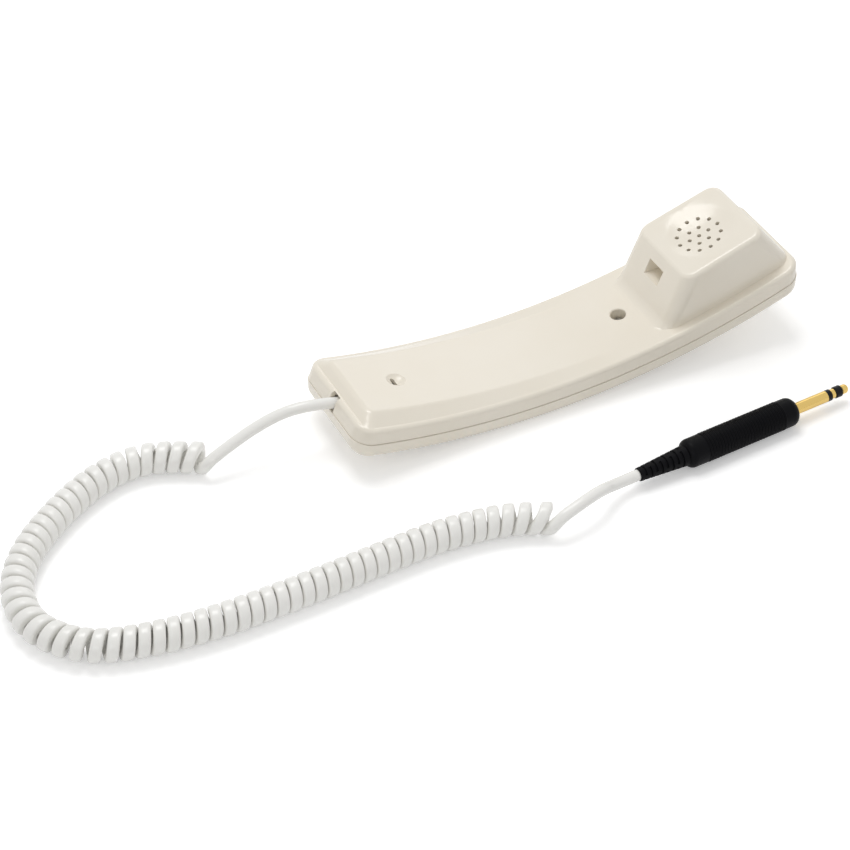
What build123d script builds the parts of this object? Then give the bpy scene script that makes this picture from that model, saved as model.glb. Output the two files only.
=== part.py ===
from build123d import *
import math
import os

# A banana-shaped telephone handset resting on its back, with a curly cord and a three-pole plug.
# Millimetres. +X runs from the cord end to the earpiece, +Z is up, the handset is mirrored about Y = 0.

# Curved slab of the handset: every long surface is an arc about one bend centre.
BEND_X = -19.0
BEND_Z = 367.3
R_LIP = 352.0
R_PART = 359.2
R_BACK = 367.7
PARTING_GAP = 0.25
LIP_ROUND = 2.0
LEAN_LEFT = 0.38
LEAN_RIGHT = -0.077
REAR_HALF = 27.8
REAR_END = 110.0
REAR_CORNER = 8.4
PARTING_STEP = 0.4
FRONT_HALF = REAR_HALF - PARTING_STEP
FRONT_END = REAR_END - PARTING_STEP
FRONT_CORNER = REAR_CORNER - PARTING_STEP
BACK_ROUND = 6.0
EDGE_BREAK = 0.3
FRONT_WALL = 2.2
REAR_WALL = 2.4
TONGUE_HIGH = 1.5
TONGUE_THICK = 1.0
TONGUE_FIT = 0.15

# Raised grip plateau on the front.
PLAT_X = -9.55
PLAT_Z = 365.6
PLAT_R = 348.6
PLAT_LEFT = -100.7
PLAT_SHOULDER = 8.2
PLAT_HALF = FRONT_HALF - PLAT_SHOULDER
FOOT_LEFT = -104.8
FOOT_SHOULDER = 2.2
FOOT_HALF = FRONT_HALF - FOOT_SHOULDER
PLAT_SPLIT = 10.0
PLAT_RIGHT = 48.0
PLAT_MITRE_ROUND = 6.0
PLAT_TOP_ROUND = 4.0
SINK = 0.05
SKIRT = 1.5
PLAT_CAVITY_SHIFT = 0.7
PLAT_CAVITY_ROUND = 5.0

# Earpiece block: three leaning faces and a cove at its foot.
FACE_TILT = 17.83
FACE_LOW = (53.9, 46.15)
SLOPE_TILT = 68.9
SLOPE_POINT = (50.1, 40.2)
TAIL_TILT = -51.1
TAIL_POINT = (107.2, 38.0)
COVE = 7.0
EAR_BOTTOM_R = 355.5
EAR_CAVITY_R = 356.0
EAR_SHOULDER = 5.0
EAR_HALF = FRONT_HALF - EAR_SHOULDER
EAR_TAPER = 0.035
EAR_TAPER_Z = 21.0
EAR_LOW = 5.0
EAR_TOE = 9.0
EAR_TUCK = 1.7
EAR_CORNER = 6.0
EAR_EDGE = 2.5

# Dish with the sound holes.
DISH_X = 71.6
DISH_Z = 51.85
DISH_RIM = 17.0
DISH_DEPTH = 2.5
DOME_WALL = 2.1
DOME_RIM = 17.3
SOUND_HOLE = 0.95
SOUND_STEP = 4.9
SOUND_BACK = 1.2

# Earpiece capsule, depths measured below the sloping face.
SEAT_OUT = 15.6
SEAT_IN = 13.6
SEAT_DEPTH = 5.2
GASKET_THICK = 0.8
CASE_R = 15.8
CASE_DEPTH = 14.6
CASE_FRONT = 1.0
CASE_WALL = 1.2
SHOULDER_IN = 13.0
SHOULDER_DEPTH = 8.0
CASE_HOLE = 0.75
CASE_HOLE_STEP = 6.0
DIAPHRAGM_THICK = 0.3
VOICE_OUT = 7.2
VOICE_IN = 6.4
VOICE_LONG = 3.0
POLE_R = 5.9
POLE_TOP = 9.5
POLE_THICK = 1.5
MAGNET_R = 5.6
YOKE_FLOOR = 1.4
MAGNET_THICK = CASE_DEPTH - YOKE_FLOOR - POLE_TOP - POLE_THICK
YOKE_RING_OUT = 10.0
YOKE_RING_IN = 8.0
TAB_THICK = 0.8
TAB_OFFSET = 4.5
TAB_LONG = 5.0
TAB_WIDE = 3.0
RETAINER_THICK = 1.6
RETAINER_IN = 10.0
RECEIVER_SCREW_X = 12.6
RECEIVER_SCREW_Y = 13.6
SMALL_BOSS = 2.4
SMALL_SHANK = 1.1
SMALL_HEAD = 2.0
SMALL_HEAD_THICK = 1.4
SMALL_SHANK_LONG = 6.0
PILOT_EXTRA = 1.0

# Hanger pocket in the front slope.
POCKET_X0 = 45.0
POCKET_X1 = 55.0
POCKET_HALF = 5.5
POCKET_Z0 = 33.2
POCKET_Z1 = 40.2
POCKET_WALL = 1.6

# Case screw, radii measured from the bend centre.
SCREW_X = 31.6
SCREW_SURFACE_R = 351.5
SCREW_TUBE_R = 5.4
SCREW_TUBE_TOP = 353.5
SCREW_JOINT = 360.0
SCREW_RECESS_R = 3.5
SCREW_SEAT = 358.0
SCREW_CLEAR_R = 1.7
SCREW_HEAD_R = 2.8
SCREW_HEAD_THICK = 1.9
SCREW_SHANK_R = 1.5
SCREW_END = 363.4
SCREW_RIM_BREAK = 0.4
REAR_BOSS_R = 4.2
INSERT_R = 2.2
INSERT_END = 363.6
INSERT_HOLE_END = 364.2
CROSS_LONG = 3.2
CROSS_WIDE = 0.8
CROSS_DEEP = 1.0

# Microphone, depths measured below the plateau.
MIC_X = -78.3
MIC_RIM = 4.3
MIC_DISH = 1.6
MIC_SLOT_LONG = 4.8
MIC_SLOT_WIDE = 2.0
MIC_SLOT_SHIFT = -0.9
MIC_BOSS_R = 6.4
MIC_BOSS_END = 3.2
BOOT_R = 7.0
BOOT_RING_OUT = 8.2
BOOT_RING_END = 9.0
BOOT_END = 10.2
BOOT_FRONT = 0.8
BOOT_SOUND = 2.4
CAPSULE_R = 4.85
CAPSULE_THICK = 5.0
MIC_POST_Y = 5.9
MIC_POST_R = 1.0
MIC_POST_END = 17.6

# Cord exit through the leaning left wall. Lengths along the exit run inwards from the outside of the wall.
EXIT_X = -108.4
EXIT_Z = 22.95
NOTCH_HALF = 2.75
NOTCH_ROOM = 1.5
NOTCH_OUT = 6.0
RIB_NEAR = 4.0
RIB_FAR = 5.6
RIB_HALF = 9.0
RIB_HIGH = 6.0
RIB_LOW = 4.0
COLLAR_R = 4.2
COLLAR_END = 10.6
CLAMP_NEAR = 6.0
CLAMP_FAR = 10.2
CLAMP_TOP = 2.0
CLAMP_BOTTOM = 5.2
CLAMP_HALF = 9.6
CLAMP_SCREW_Y = 7.2
CLAMP_POST_R = 2.1
CLAMP_POST_HIGH = 8.0
CORD_START = 12.0
TONGUE_OPEN = 3.2

# Board, terminals and small parts inside.
BOARD_X0 = -25.0
BOARD_X1 = 20.0
BOARD_HALF = 15.0
BOARD_LOW = 9.4
BOARD_TOP = 11.0
BOARD_POSTS_X = (-18.0, 14.0)
BOARD_POST_Y = 12.0
BOARD_PILOT_END = 14.0
BOARD_POST_SINK = 1.0
BLOCK_X0 = -24.0
BLOCK_X1 = -16.0
BLOCK_HALF = 8.0
BLOCK_LOW = 4.8
BLOCK_STEP = 5.0
TERMINAL_R = 1.6
TERMINAL_HEAD = 0.9
TERMINAL_SHANK_R = 0.9
TERMINAL_SHANK = 2.5
CAP_X = -4.0
CAP_Y = -6.0
CAP_SIZE = (9.0, 5.0, 4.6)
CHIP_PLACES = ((6.0, 5.0), (-7.0, 6.0))
CHIP_SIZE = (7.0, 5.0, 1.5)
CHIP_STEP = 1.27
CHIP_LEG = (0.4, 1.0, 0.6)
CHIP_LEGS = 4

# Balance weight and its bosses on the rear cover.
WEIGHT_X0 = -65.5
WEIGHT_X1 = -36.5
WEIGHT_HALF = 9.0
WEIGHT_LOW = 6.5
WEIGHT_THICK = 4.0
WEIGHT_SCREWS_X = (-61.0, -41.0)
WEIGHT_PILOT_END = 1.6

# Cord and wires.
WIRE_R = 2.4
CORE_R = 0.5
FINE_R = 0.4
CORE_STEP = 1.2
WIRE_ASIDE = 10.6
WIRE_CLEAR = 1.6

# Curls of the cord: radius of the wire's middle, its height over the table, and how many turns.
COIL_R = 4.75
COIL_Z = 7.15
TURNS = 61
END_EASE = 0.8
TAIL_LEAN = 2.9
TAIL_FADE = 1.1
TAIL_OUT = 0.40
TAIL_OPEN = 0.9
LEAD_LEAN = 6.2
LEAD_FADE = 1.0
LEAD_OUT = 0.45
LEAD_OPEN = 0.92
NODES_PER_TURN = 4
# Control points of the middle line that the curls wind about, on the table plane.
COIL_AXIS = (
    (-166.8, 10.4), (-175.5, 15.6), (-190.0, 20.6), (-209.0, 17.2), (-229.0, 6.5), (-249.0, -9.0),
    (-261.5, -27.0), (-264.0, -49.0), (-252.5, -67.5), (-236.5, -76.0), (-206.0, -81.5),
    (-170.0, -81.6), (-130.0, -79.6), (-100.0, -78.0), (-76.0, -80.6), (-63.0, -84.6), (-55.8, -88.2),
)
TAIL_FIRST_RUN = 21.0
TAIL_LAST_RUN = 20.0
LEAD_FIRST_RUN = 11.0
LEAD_LAST_RUN = 11.0

# Plug, lengths along its own axis from the cord end of the relief.
PLUG_X = -6.9
PLUG_Y = -82.8
PLUG_Z = 6.4
PLUG_HEADING = 3.6
RELIEF_LONG = 23.7
RELIEF_R0 = 2.95
RELIEF_R1 = 4.6
RELIEF_ROUND = 0.4
RIB_STEP = 2.6
RIB_GROOVE = 1.1
RIB_DEEP = 0.6
RIB_COUNT = 8
RIB_FIRST = 2.4
RIB_BRIDGE = 1.6
BARREL_R = 6.4
BARREL_LONG = 57.7
BARREL_REAR_ROUND = 3.0
BARREL_FRONT_ROUND = 3.6
RING_FIRST = 9.0
RING_STEP = 1.5
RING_COUNT = 27
RING_DEEP = 0.25
RING_WIDE = 0.5
SOCKET_DEEP = 5.0
SOCKET_R = 3.4
SLEEVE_R = 2.6
SLEEVE_LONG = 17.0
REAR_INSULATOR_R = SLEEVE_R
REAR_INSULATOR_LONG = 2.2
RING_R = 2.2
RING_LONG = 2.4
FRONT_INSULATOR_R = SLEEVE_R
FRONT_INSULATOR_LONG = 3.4
TIP_R = 2.1
TIP_LONG = 3.75
TIP_FLAT = 0.4
PIN_ROUND = 0.35


def arc_z(x, radius):
    return BEND_Z - math.sqrt(radius ** 2 - (x - BEND_X) ** 2)


def plat_z(x):
    return PLAT_Z - math.sqrt(PLAT_R ** 2 - (x - PLAT_X) ** 2)


def facing(x, z, turn):
    """place on the mid plane whose own Z points into the body"""
    side = (math.cos(turn), 0, math.sin(turn))
    inward = (math.sin(turn), 0, -math.cos(turn))
    return Plane(origin=(x, 0, z), x_dir=side, z_dir=inward).location


def disc(place, radius, near, far, x=0.0, y=0.0):
    return place * Pos(x, y, (near + far) / 2) * Cylinder(radius, far - near)


def tube(place, outer, inner, near, far):
    return disc(place, outer, near, far) - disc(place, inner, near, far)


def box_between(low, high):
    size = [high[i] - low[i] for i in range(3)]
    middle = [(high[i] + low[i]) / 2 for i in range(3)]
    return Pos(*middle) * Box(*size)


def end_point(x_part, lean, radius):
    """where a leaning end wall crosses an arc about the bend centre"""
    x = x_part
    for _ in range(12):
        x = x_part + lean * (arc_z(x, radius) - arc_z(x_part, R_PART))
    return (x, 0, arc_z(x, radius))


def band(r_top, r_bottom, half_width, half_length, lean_left, lean_right, corner):
    low_left = end_point(-half_length, lean_left, r_bottom)
    top_left = end_point(-half_length, lean_left, r_top)
    top_right = end_point(half_length, lean_right, r_top)
    low_right = end_point(half_length, lean_right, r_bottom)
    outline = Wire([
        Line(low_left, top_left),
        ThreePointArc(top_left, (BEND_X, 0, BEND_Z - r_top), top_right),
        Line(top_right, low_right),
        ThreePointArc(low_right, (BEND_X, 0, BEND_Z - r_bottom), low_left),
    ])
    slab = extrude(Face(outline), amount=half_width, dir=(0, 1, 0), both=True)
    corners = [e for e in slab.edges() if abs((e @ 1 - e @ 0).Y) < 0.01 and e.geom_type == GeomType.LINE]
    return fillet(corners, corner)


def at_radius(shape, radius):
    found = []
    for edge in shape.edges():
        middle = edge @ 0.5
        if abs(math.hypot(middle.X - BEND_X, middle.Z - BEND_Z) - radius) < 0.01:
            found.append(edge)
    return found


def plateau_section(y, on_top, x0, x1, drop, shift):
    top_left = (PLAT_LEFT + shift, plat_z(PLAT_LEFT) - drop)
    foot_left = (FOOT_LEFT + shift, arc_z(FOOT_LEFT, R_LIP) - SINK - drop)
    slope = (top_left[1] - foot_left[1]) / (top_left[0] - foot_left[0])

    def upper(x):
        if on_top:
            return plat_z(x) - drop
        return arc_z(x, R_LIP) - SINK - drop

    def lower(x):
        return arc_z(x, R_LIP) - SKIRT - drop

    if x0 is None:
        reach = 0.9
        corner = top_left if on_top else foot_left
        base = (foot_left[0] - reach, y, foot_left[1] - reach * slope)
        top = (corner[0], y, corner[1])
    else:
        base = (x0, y, lower(x0))
        top = (x0, y, upper(x0))
    top_mid = (top[0] + x1) / 2
    low_mid = (base[0] + x1) / 2
    return Face(Wire([
        Line(base, top),
        ThreePointArc(top, (top_mid, y, upper(top_mid)), (x1, y, upper(x1))),
        Line((x1, y, upper(x1)), (x1, y, lower(x1))),
        ThreePointArc((x1, y, lower(x1)), (low_mid, y, lower(low_mid)), base),
    ]))


def plateau(x0, x1, drop, shift):
    foot = FOOT_HALF - shift
    top = PLAT_HALF - shift
    sections = [
        plateau_section(-foot, False, x0, x1, drop, shift),
        plateau_section(-top, True, x0, x1, drop, shift),
        plateau_section(top, True, x0, x1, drop, shift),
        plateau_section(foot, False, x0, x1, drop, shift),
    ]
    return loft(sections, ruled=True)


def mitres(shape, drop, shift):
    corner_z = plat_z(PLAT_LEFT) - drop
    found = []
    for edge in shape.edges():
        rise = abs((edge @ 1 - edge @ 0).Y)
        if rise < 3 or rise > 20:
            continue
        for side in (-1, 1):
            corner = Vector(PLAT_LEFT + shift, side * (PLAT_HALF - shift), corner_z)
            if (edge @ 0 - corner).length < 0.05 or (edge @ 1 - corner).length < 0.05:
                found.append(edge)
    return found


def rounded_plateau():
    left = plateau(None, PLAT_SPLIT, 0, 0)
    left = fillet(mitres(left, 0, 0), PLAT_MITRE_ROUND)
    loop = []
    for edge in left.edges():
        middle = edge @ 0.5
        on_arc = abs(math.hypot(middle.X - PLAT_X, middle.Z - PLAT_Z) - PLAT_R) < 0.02
        if on_arc and middle.X < PLAT_SPLIT - 0.5:
            loop.append(edge)
    left = fillet(loop, PLAT_TOP_ROUND)
    return left + plateau(PLAT_SPLIT, PLAT_RIGHT, 0, 0)


def plateau_cavity():
    room = plateau(None, PLAT_RIGHT, FRONT_WALL, PLAT_CAVITY_SHIFT)
    return fillet(mitres(room, FRONT_WALL, PLAT_CAVITY_SHIFT), PLAT_CAVITY_ROUND)


def offset_point(point, tilt, inset):
    a = math.radians(tilt)
    return (point[0] + inset * math.sin(a), point[1] - inset * math.cos(a))


def meet(p, tilt_p, q, tilt_q):
    """crossing of two lines given by a point and a tilt"""
    a = math.radians(tilt_p)
    b = math.radians(tilt_q)
    across = math.cos(a) * math.sin(b) - math.sin(a) * math.cos(b)
    t = ((q[0] - p[0]) * math.sin(b) - (q[1] - p[1]) * math.cos(b)) / across
    return (p[0] + t * math.cos(a), p[1] + t * math.sin(a))


def flat(point):
    return (point[0], 0, point[1])


def cove_points():
    """centre of the cove and where it leaves the slope and the plateau"""
    a = math.radians(SLOPE_TILT)
    reach = PLAT_R - COVE + 0.03
    start = offset_point(SLOPE_POINT, SLOPE_TILT, -COVE)
    dx = start[0] - PLAT_X
    dz = start[1] - PLAT_Z
    b = dx * math.cos(a) + dz * math.sin(a)
    c = dx ** 2 + dz ** 2 - reach ** 2
    t = -b - math.sqrt(b ** 2 - c)
    centre = (start[0] + t * math.cos(a), start[1] + t * math.sin(a))
    on_slope = offset_point(centre, SLOPE_TILT, COVE)
    out = math.atan2(centre[1] - PLAT_Z, centre[0] - PLAT_X)
    on_plateau = (centre[0] + COVE * math.cos(out), centre[1] + COVE * math.sin(out))
    half = (math.atan2(on_slope[1] - centre[1], on_slope[0] - centre[0]) + out) / 2
    middle = (centre[0] + COVE * math.cos(half), centre[1] + COVE * math.sin(half))
    return on_slope, middle, on_plateau, out


def ear_outline(inset):
    """side view of the block, carried down past the handset so that its corners round cleanly"""
    slope = offset_point(SLOPE_POINT, SLOPE_TILT, inset)
    face = offset_point(FACE_LOW, FACE_TILT, inset)
    tail = offset_point(TAIL_POINT, TAIL_TILT, inset)
    low = (0.0, EAR_LOW)
    front_top = meet(slope, SLOPE_TILT, face, FACE_TILT)
    back_top = meet(face, FACE_TILT, tail, TAIL_TILT)
    back_low = meet(tail, TAIL_TILT, low, 0.0)
    lines = [
        Line(flat(front_top), flat(back_top)),
        Line(flat(back_top), flat(back_low)),
    ]
    if inset:
        front_low = meet(slope, SLOPE_TILT, low, 0.0)
        lines.append(Line(flat(front_low), flat(front_top)))
    else:
        on_slope, middle, on_plateau, out = cove_points()
        toe_end = (on_plateau[0] + EAR_TOE * math.sin(out), on_plateau[1] - EAR_TOE * math.cos(out))
        front_low = (toe_end[0], EAR_LOW)
        lines.append(Line(flat(on_slope), flat(front_top)))
        lines.append(ThreePointArc(flat(on_plateau), flat(middle), flat(on_slope)))
        lines.append(Line(flat(toe_end), flat(on_plateau)))
        lines.append(Line(flat(front_low), flat(toe_end)))
    lines.append(Line(flat(back_low), flat(front_low)))
    return Face(Wire(lines))


def ear_keeper(bottom_r):
    """what stays of the block: all above an arc within the slab"""
    left = 20.0
    right = 130.0
    high = 90.0
    inner = TAIL_POINT[0] - EAR_TUCK
    mid = (left + inner) / 2
    return extrude(Face(Wire([
        Line((left, 0, high), (right, 0, high)),
        Line((right, 0, high), (right, 0, TAIL_POINT[1])),
        Line((right, 0, TAIL_POINT[1]), flat(TAIL_POINT)),
        Line(flat(TAIL_POINT), (inner, 0, arc_z(inner, bottom_r))),
        ThreePointArc((inner, 0, arc_z(inner, bottom_r)), (mid, 0, arc_z(mid, bottom_r)),
                      (left, 0, arc_z(left, bottom_r))),
        Line((left, 0, arc_z(left, bottom_r)), (left, 0, high)),
    ])), amount=EAR_HALF + 8, dir=(0, 1, 0), both=True)


def ear_block(inset, bottom_r, corner, edge_round):
    block = extrude(ear_outline(inset), amount=EAR_HALF + 8, dir=(0, 1, 0), both=True)
    z0 = EAR_LOW - 10
    z1 = 90.0
    low_half = EAR_HALF - inset + EAR_TAPER * (EAR_TAPER_Z - z0)
    high_half = EAR_HALF - inset - EAR_TAPER * (z1 - EAR_TAPER_Z)
    taper = Plane.YZ * make_face(Polyline(
        (-low_half, z0), (low_half, z0), (high_half, z1), (-high_half, z1), close=True))
    block = block & extrude(taper, amount=200, both=True)
    long = []
    for edge in block.edges():
        middle = edge @ 0.5
        rise = (edge @ 1 - edge @ 0)
        across = abs(rise.Y) > 20
        on_face = abs(rise.X) > 35 and abs(rise.Z) < 25
        upright = abs(rise.X) < 0.01
        if not (across or on_face or upright):
            long.append(edge)
    block = fillet(long, corner)
    if edge_round:
        a = math.radians(FACE_TILT)
        up = Vector(-math.sin(a), 0, math.cos(a))
        top = max(block.faces(), key=lambda f: f.center().dot(up))
        block = fillet(top.edges(), edge_round)
    return block & ear_keeper(bottom_r)


def face_place():
    return facing(DISH_X, DISH_Z, math.radians(FACE_TILT))


def mic_place():
    turn = math.asin((MIC_X - PLAT_X) / PLAT_R)
    return facing(MIC_X, plat_z(MIC_X), turn)


def screw_place():
    """on the axis of the case screw, depth zero at the bend centre"""
    turn = math.asin((SCREW_X - BEND_X) / SCREW_SURFACE_R)
    return facing(BEND_X, BEND_Z, turn)


def sphere_cap(place, rim, depth):
    """ball that cuts a dish of this rim and depth"""
    radius = (rim ** 2 + depth ** 2) / (2 * depth)
    return place * Pos(0, 0, depth - radius) * Sphere(radius)


def ring_spots(step):
    spots = [(0.0, 0.0)]
    for ring, count in ((1, 6), (2, 12)):
        for i in range(count):
            a = 2 * math.pi * i / count
            spots.append((ring * step * math.cos(a), ring * step * math.sin(a)))
    return spots


def receiver_corners():
    return [(sx * RECEIVER_SCREW_X, sy * RECEIVER_SCREW_Y) for sx in (-1, 1) for sy in (-1, 1)]


def exit_place():
    """outside of the left wall on the cord's line; own Z points inwards, own X points up"""
    lean = math.atan(LEAN_LEFT)
    inward = (math.cos(lean), 0, -math.sin(lean))
    upward = (math.sin(lean), 0, math.cos(lean))
    return Plane(origin=(EXIT_X, 0, EXIT_Z), x_dir=upward, z_dir=inward).location


def exit_box(low, high):
    """box in the exit frame, given as up, sideways, inwards"""
    return exit_place() * box_between(low, high)


def front_outer():
    body = band(R_LIP, R_PART - PARTING_GAP / 2, FRONT_HALF, FRONT_END, LEAN_LEFT, LEAN_RIGHT, FRONT_CORNER)
    body = fillet(at_radius(body, R_LIP), LIP_ROUND)
    body = body + rounded_plateau()
    return body + ear_block(0.0, EAR_BOTTOM_R, EAR_CORNER, EAR_EDGE)


def front_cavity():
    half = FRONT_HALF - FRONT_WALL
    end = FRONT_END - FRONT_WALL
    corner = FRONT_CORNER - FRONT_WALL
    room = band(R_LIP + FRONT_WALL, R_PART + 2.0, half, end, LEAN_LEFT, LEAN_RIGHT, corner)
    room = room + plateau_cavity()
    return room + ear_block(FRONT_WALL, EAR_CAVITY_R, EAR_CORNER - FRONT_WALL, 0.0)


def front_ribs():
    face = face_place()
    ribs = tube(face, SEAT_OUT, SEAT_IN, 0.0, SEAT_DEPTH)
    for x, y in receiver_corners():
        ribs = ribs + disc(face, SMALL_BOSS, 0.0, CASE_DEPTH, x, y)
    dome = sphere_cap(face, DISH_RIM, DISH_DEPTH)
    radius = (DISH_RIM ** 2 + DISH_DEPTH ** 2) / (2 * DISH_DEPTH) + DOME_WALL
    thick = face * Pos(0, 0, DISH_DEPTH + DOME_WALL - radius) * Sphere(radius)
    ribs = ribs + (disc(face, DOME_RIM, 0.0, DISH_DEPTH + DOME_WALL + 1) & thick)
    cup_low = (POCKET_X0, -POCKET_HALF - POCKET_WALL, POCKET_Z0 - POCKET_WALL)
    cup_high = (POCKET_X1 + POCKET_WALL, POCKET_HALF + POCKET_WALL, POCKET_Z1 + POCKET_WALL)
    ribs = ribs + box_between(cup_low, cup_high)
    ribs = ribs + disc(screw_place(), SCREW_TUBE_R, SCREW_TUBE_TOP, SCREW_JOINT)
    mic = mic_place()
    ribs = ribs + disc(mic, MIC_BOSS_R, 0.0, MIC_BOSS_END)
    ribs = ribs + tube(mic, BOOT_RING_OUT, BOOT_R, 0.0, BOOT_RING_END)
    for x in BOARD_POSTS_X:
        for side in (-1, 1):
            high = plat_z(x) - BOARD_POST_SINK
            post = Pos(x, side * BOARD_POST_Y, (BOARD_TOP + high) / 2)
            ribs = ribs + post * Cylinder(SMALL_BOSS, high - BOARD_TOP)
    ribs = ribs + exit_box((-RIB_LOW, -RIB_HALF, RIB_NEAR), (RIB_HIGH, RIB_HALF, RIB_FAR))
    for side in (-1, 1):
        middle = (CLAMP_NEAR + CLAMP_FAR) / 2
        long = CLAMP_POST_HIGH + CLAMP_TOP
        post = Pos((CLAMP_POST_HIGH - CLAMP_TOP) / 2, side * CLAMP_SCREW_Y, middle) * Rot(0, 90, 0) * Cylinder(
            CLAMP_POST_R, long)
        ribs = ribs + exit_place() * post
    return ribs


def front_cuts():
    face = face_place()
    cuts = sphere_cap(face, DISH_RIM, DISH_DEPTH) & disc(face, DISH_RIM + 1, -20.0, DISH_DEPTH + 1)
    for x, y in ring_spots(SOUND_STEP):
        cuts = cuts + disc(face, SOUND_HOLE, -2.0, DISH_DEPTH + DOME_WALL + 1, x - SOUND_BACK, y)
    for x, y in receiver_corners():
        cuts = cuts + disc(face, SMALL_SHANK, CASE_DEPTH - SMALL_SHANK_LONG, CASE_DEPTH, x, y)
    cuts = cuts + box_between((POCKET_X0 - 5, -POCKET_HALF, POCKET_Z0), (POCKET_X1, POCKET_HALF, POCKET_Z1))
    screw = screw_place()
    cuts = cuts + disc(screw, SCREW_RECESS_R, SCREW_SURFACE_R - 4, SCREW_SEAT)
    cuts = cuts + disc(screw, SCREW_CLEAR_R, SCREW_SEAT - 1, SCREW_JOINT + 1)
    rim = screw * Pos(0, 0, SCREW_SURFACE_R + SCREW_RIM_BREAK / 2 - 0.2)
    cuts = cuts + rim * Cone(SCREW_RECESS_R + SCREW_RIM_BREAK * 2, SCREW_RECESS_R, SCREW_RIM_BREAK * 2)
    mic = mic_place()
    cuts = cuts + sphere_cap(mic, MIC_RIM, MIC_DISH)
    slot = Pos(MIC_SLOT_SHIFT, 0, 0) * extrude(
        SlotOverall(MIC_SLOT_LONG, MIC_SLOT_WIDE, rotation=90), amount=MIC_BOSS_END + 1)
    cuts = cuts + mic * slot
    top = WIRE_R + NOTCH_ROOM
    cuts = cuts + exit_box((-12.0, -NOTCH_HALF, -NOTCH_OUT), (top, NOTCH_HALF, RIB_FAR + 0.01))
    for side in (-1, 1):
        middle = (CLAMP_NEAR + CLAMP_FAR) / 2
        pilot = Pos((SMALL_SHANK_LONG - CLAMP_TOP - 1) / 2, side * CLAMP_SCREW_Y, middle) * Rot(0, 90, 0)
        cuts = cuts + exit_place() * pilot * Cylinder(SMALL_SHANK, SMALL_SHANK_LONG + CLAMP_TOP - 1)
    for x in BOARD_POSTS_X:
        for side in (-1, 1):
            pilot = Pos(x, side * BOARD_POST_Y, (BOARD_LOW + BOARD_PILOT_END) / 2)
            cuts = cuts + pilot * Cylinder(SMALL_SHANK, BOARD_PILOT_END - BOARD_LOW)
    return cuts


def front_shell():
    outer = front_outer()
    shell = outer - front_cavity()
    shell = shell + (front_ribs() & outer)
    return shell - front_cuts()


def rear_room(inset, r_top, r_bottom, rounding):
    half = REAR_HALF - inset
    end = REAR_END - inset
    room = band(r_top, r_bottom, half, end, 0.0, 0.0, REAR_CORNER - inset)
    if rounding:
        room = fillet(at_radius(room, r_bottom), rounding)
    return room


def leaning_room(inset, r_top, r_bottom):
    """the same, with end walls that follow the lean of the front shell"""
    half = REAR_HALF - inset
    end = REAR_END - inset
    return band(r_top, r_bottom, half, end, LEAN_LEFT, LEAN_RIGHT, REAR_CORNER - inset)


def rear_cover():
    inner_edge = FRONT_WALL + (REAR_HALF - FRONT_HALF) + TONGUE_FIT
    edge = inner_edge + TONGUE_THICK
    top = R_PART + PARTING_GAP / 2
    step = R_PART + 2.0
    cover = band(top, R_BACK, REAR_HALF, REAR_END, 0.0, 0.0, REAR_CORNER)
    cover = fillet(at_radius(cover, R_BACK), BACK_ROUND)
    cover = fillet(at_radius(cover, top), EDGE_BREAK)
    tongue = leaning_room(inner_edge, R_PART - TONGUE_HIGH, top + 0.5)
    tongue = tongue - box_between((-REAR_END - 2, -TONGUE_OPEN, 0), (-REAR_END + 8, TONGUE_OPEN, 40))
    cover = cover + tongue
    cover = cover - leaning_room(edge, R_PART - TONGUE_HIGH - 1, step + 0.5)
    cover = cover - rear_room(REAR_WALL, step, R_BACK - REAR_WALL, BACK_ROUND - REAR_WALL)
    screw = screw_place()
    bosses = disc(screw, REAR_BOSS_R, SCREW_JOINT, R_BACK)
    mic = mic_place()
    for side in (-1, 1):
        bosses = bosses + disc(mic, MIC_POST_R, BOOT_END, MIC_POST_END, 0.0, side * MIC_POST_Y)
    for x in WEIGHT_SCREWS_X:
        bosses = bosses + Pos(x, 0, WEIGHT_LOW / 2) * Cylinder(SMALL_BOSS + 0.6, WEIGHT_LOW)
    outer = band(SCREW_JOINT - 20, R_BACK - 0.5, REAR_HALF - 1, REAR_END - 1, 0.0, 0.0, REAR_CORNER)
    cover = cover + (bosses & outer)
    cover = cover - disc(screw, INSERT_R, SCREW_JOINT - 1, INSERT_HOLE_END)
    for x in WEIGHT_SCREWS_X:
        high = WEIGHT_LOW + 1
        cover = cover - Pos(x, 0, (WEIGHT_PILOT_END + 1 + high) / 2) * Cylinder(
            SMALL_SHANK, high - WEIGHT_PILOT_END - 1)
    below = box_between((-200, -100, -20), (200, 100, 0))
    return cover - below


def cross_recess(place, near):
    """cross cut in a screw head whose top is at this depth"""
    deep = CROSS_DEEP
    one = Pos(0, 0, near + deep / 2) * Box(CROSS_LONG, CROSS_WIDE, deep)
    two = Pos(0, 0, near + deep / 2) * Box(CROSS_WIDE, CROSS_LONG, deep)
    return place * (one + two)


def case_screw():
    place = screw_place()
    top = SCREW_SEAT - SCREW_HEAD_THICK
    head = disc(place, SCREW_HEAD_R, top, SCREW_SEAT)
    head = fillet(head.edges().filter_by(GeomType.CIRCLE).sort_by(Axis.Z)[-1:], 0.8)
    return head + disc(place, SCREW_SHANK_R, SCREW_SEAT - 0.5, SCREW_END) - cross_recess(place, top)


def case_insert():
    return tube(screw_place(), INSERT_R, SCREW_SHANK_R, SCREW_JOINT, INSERT_END)


def receiver_gasket():
    return tube(face_place(), SEAT_OUT, SEAT_IN, SEAT_DEPTH, SEAT_DEPTH + GASKET_THICK)


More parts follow.
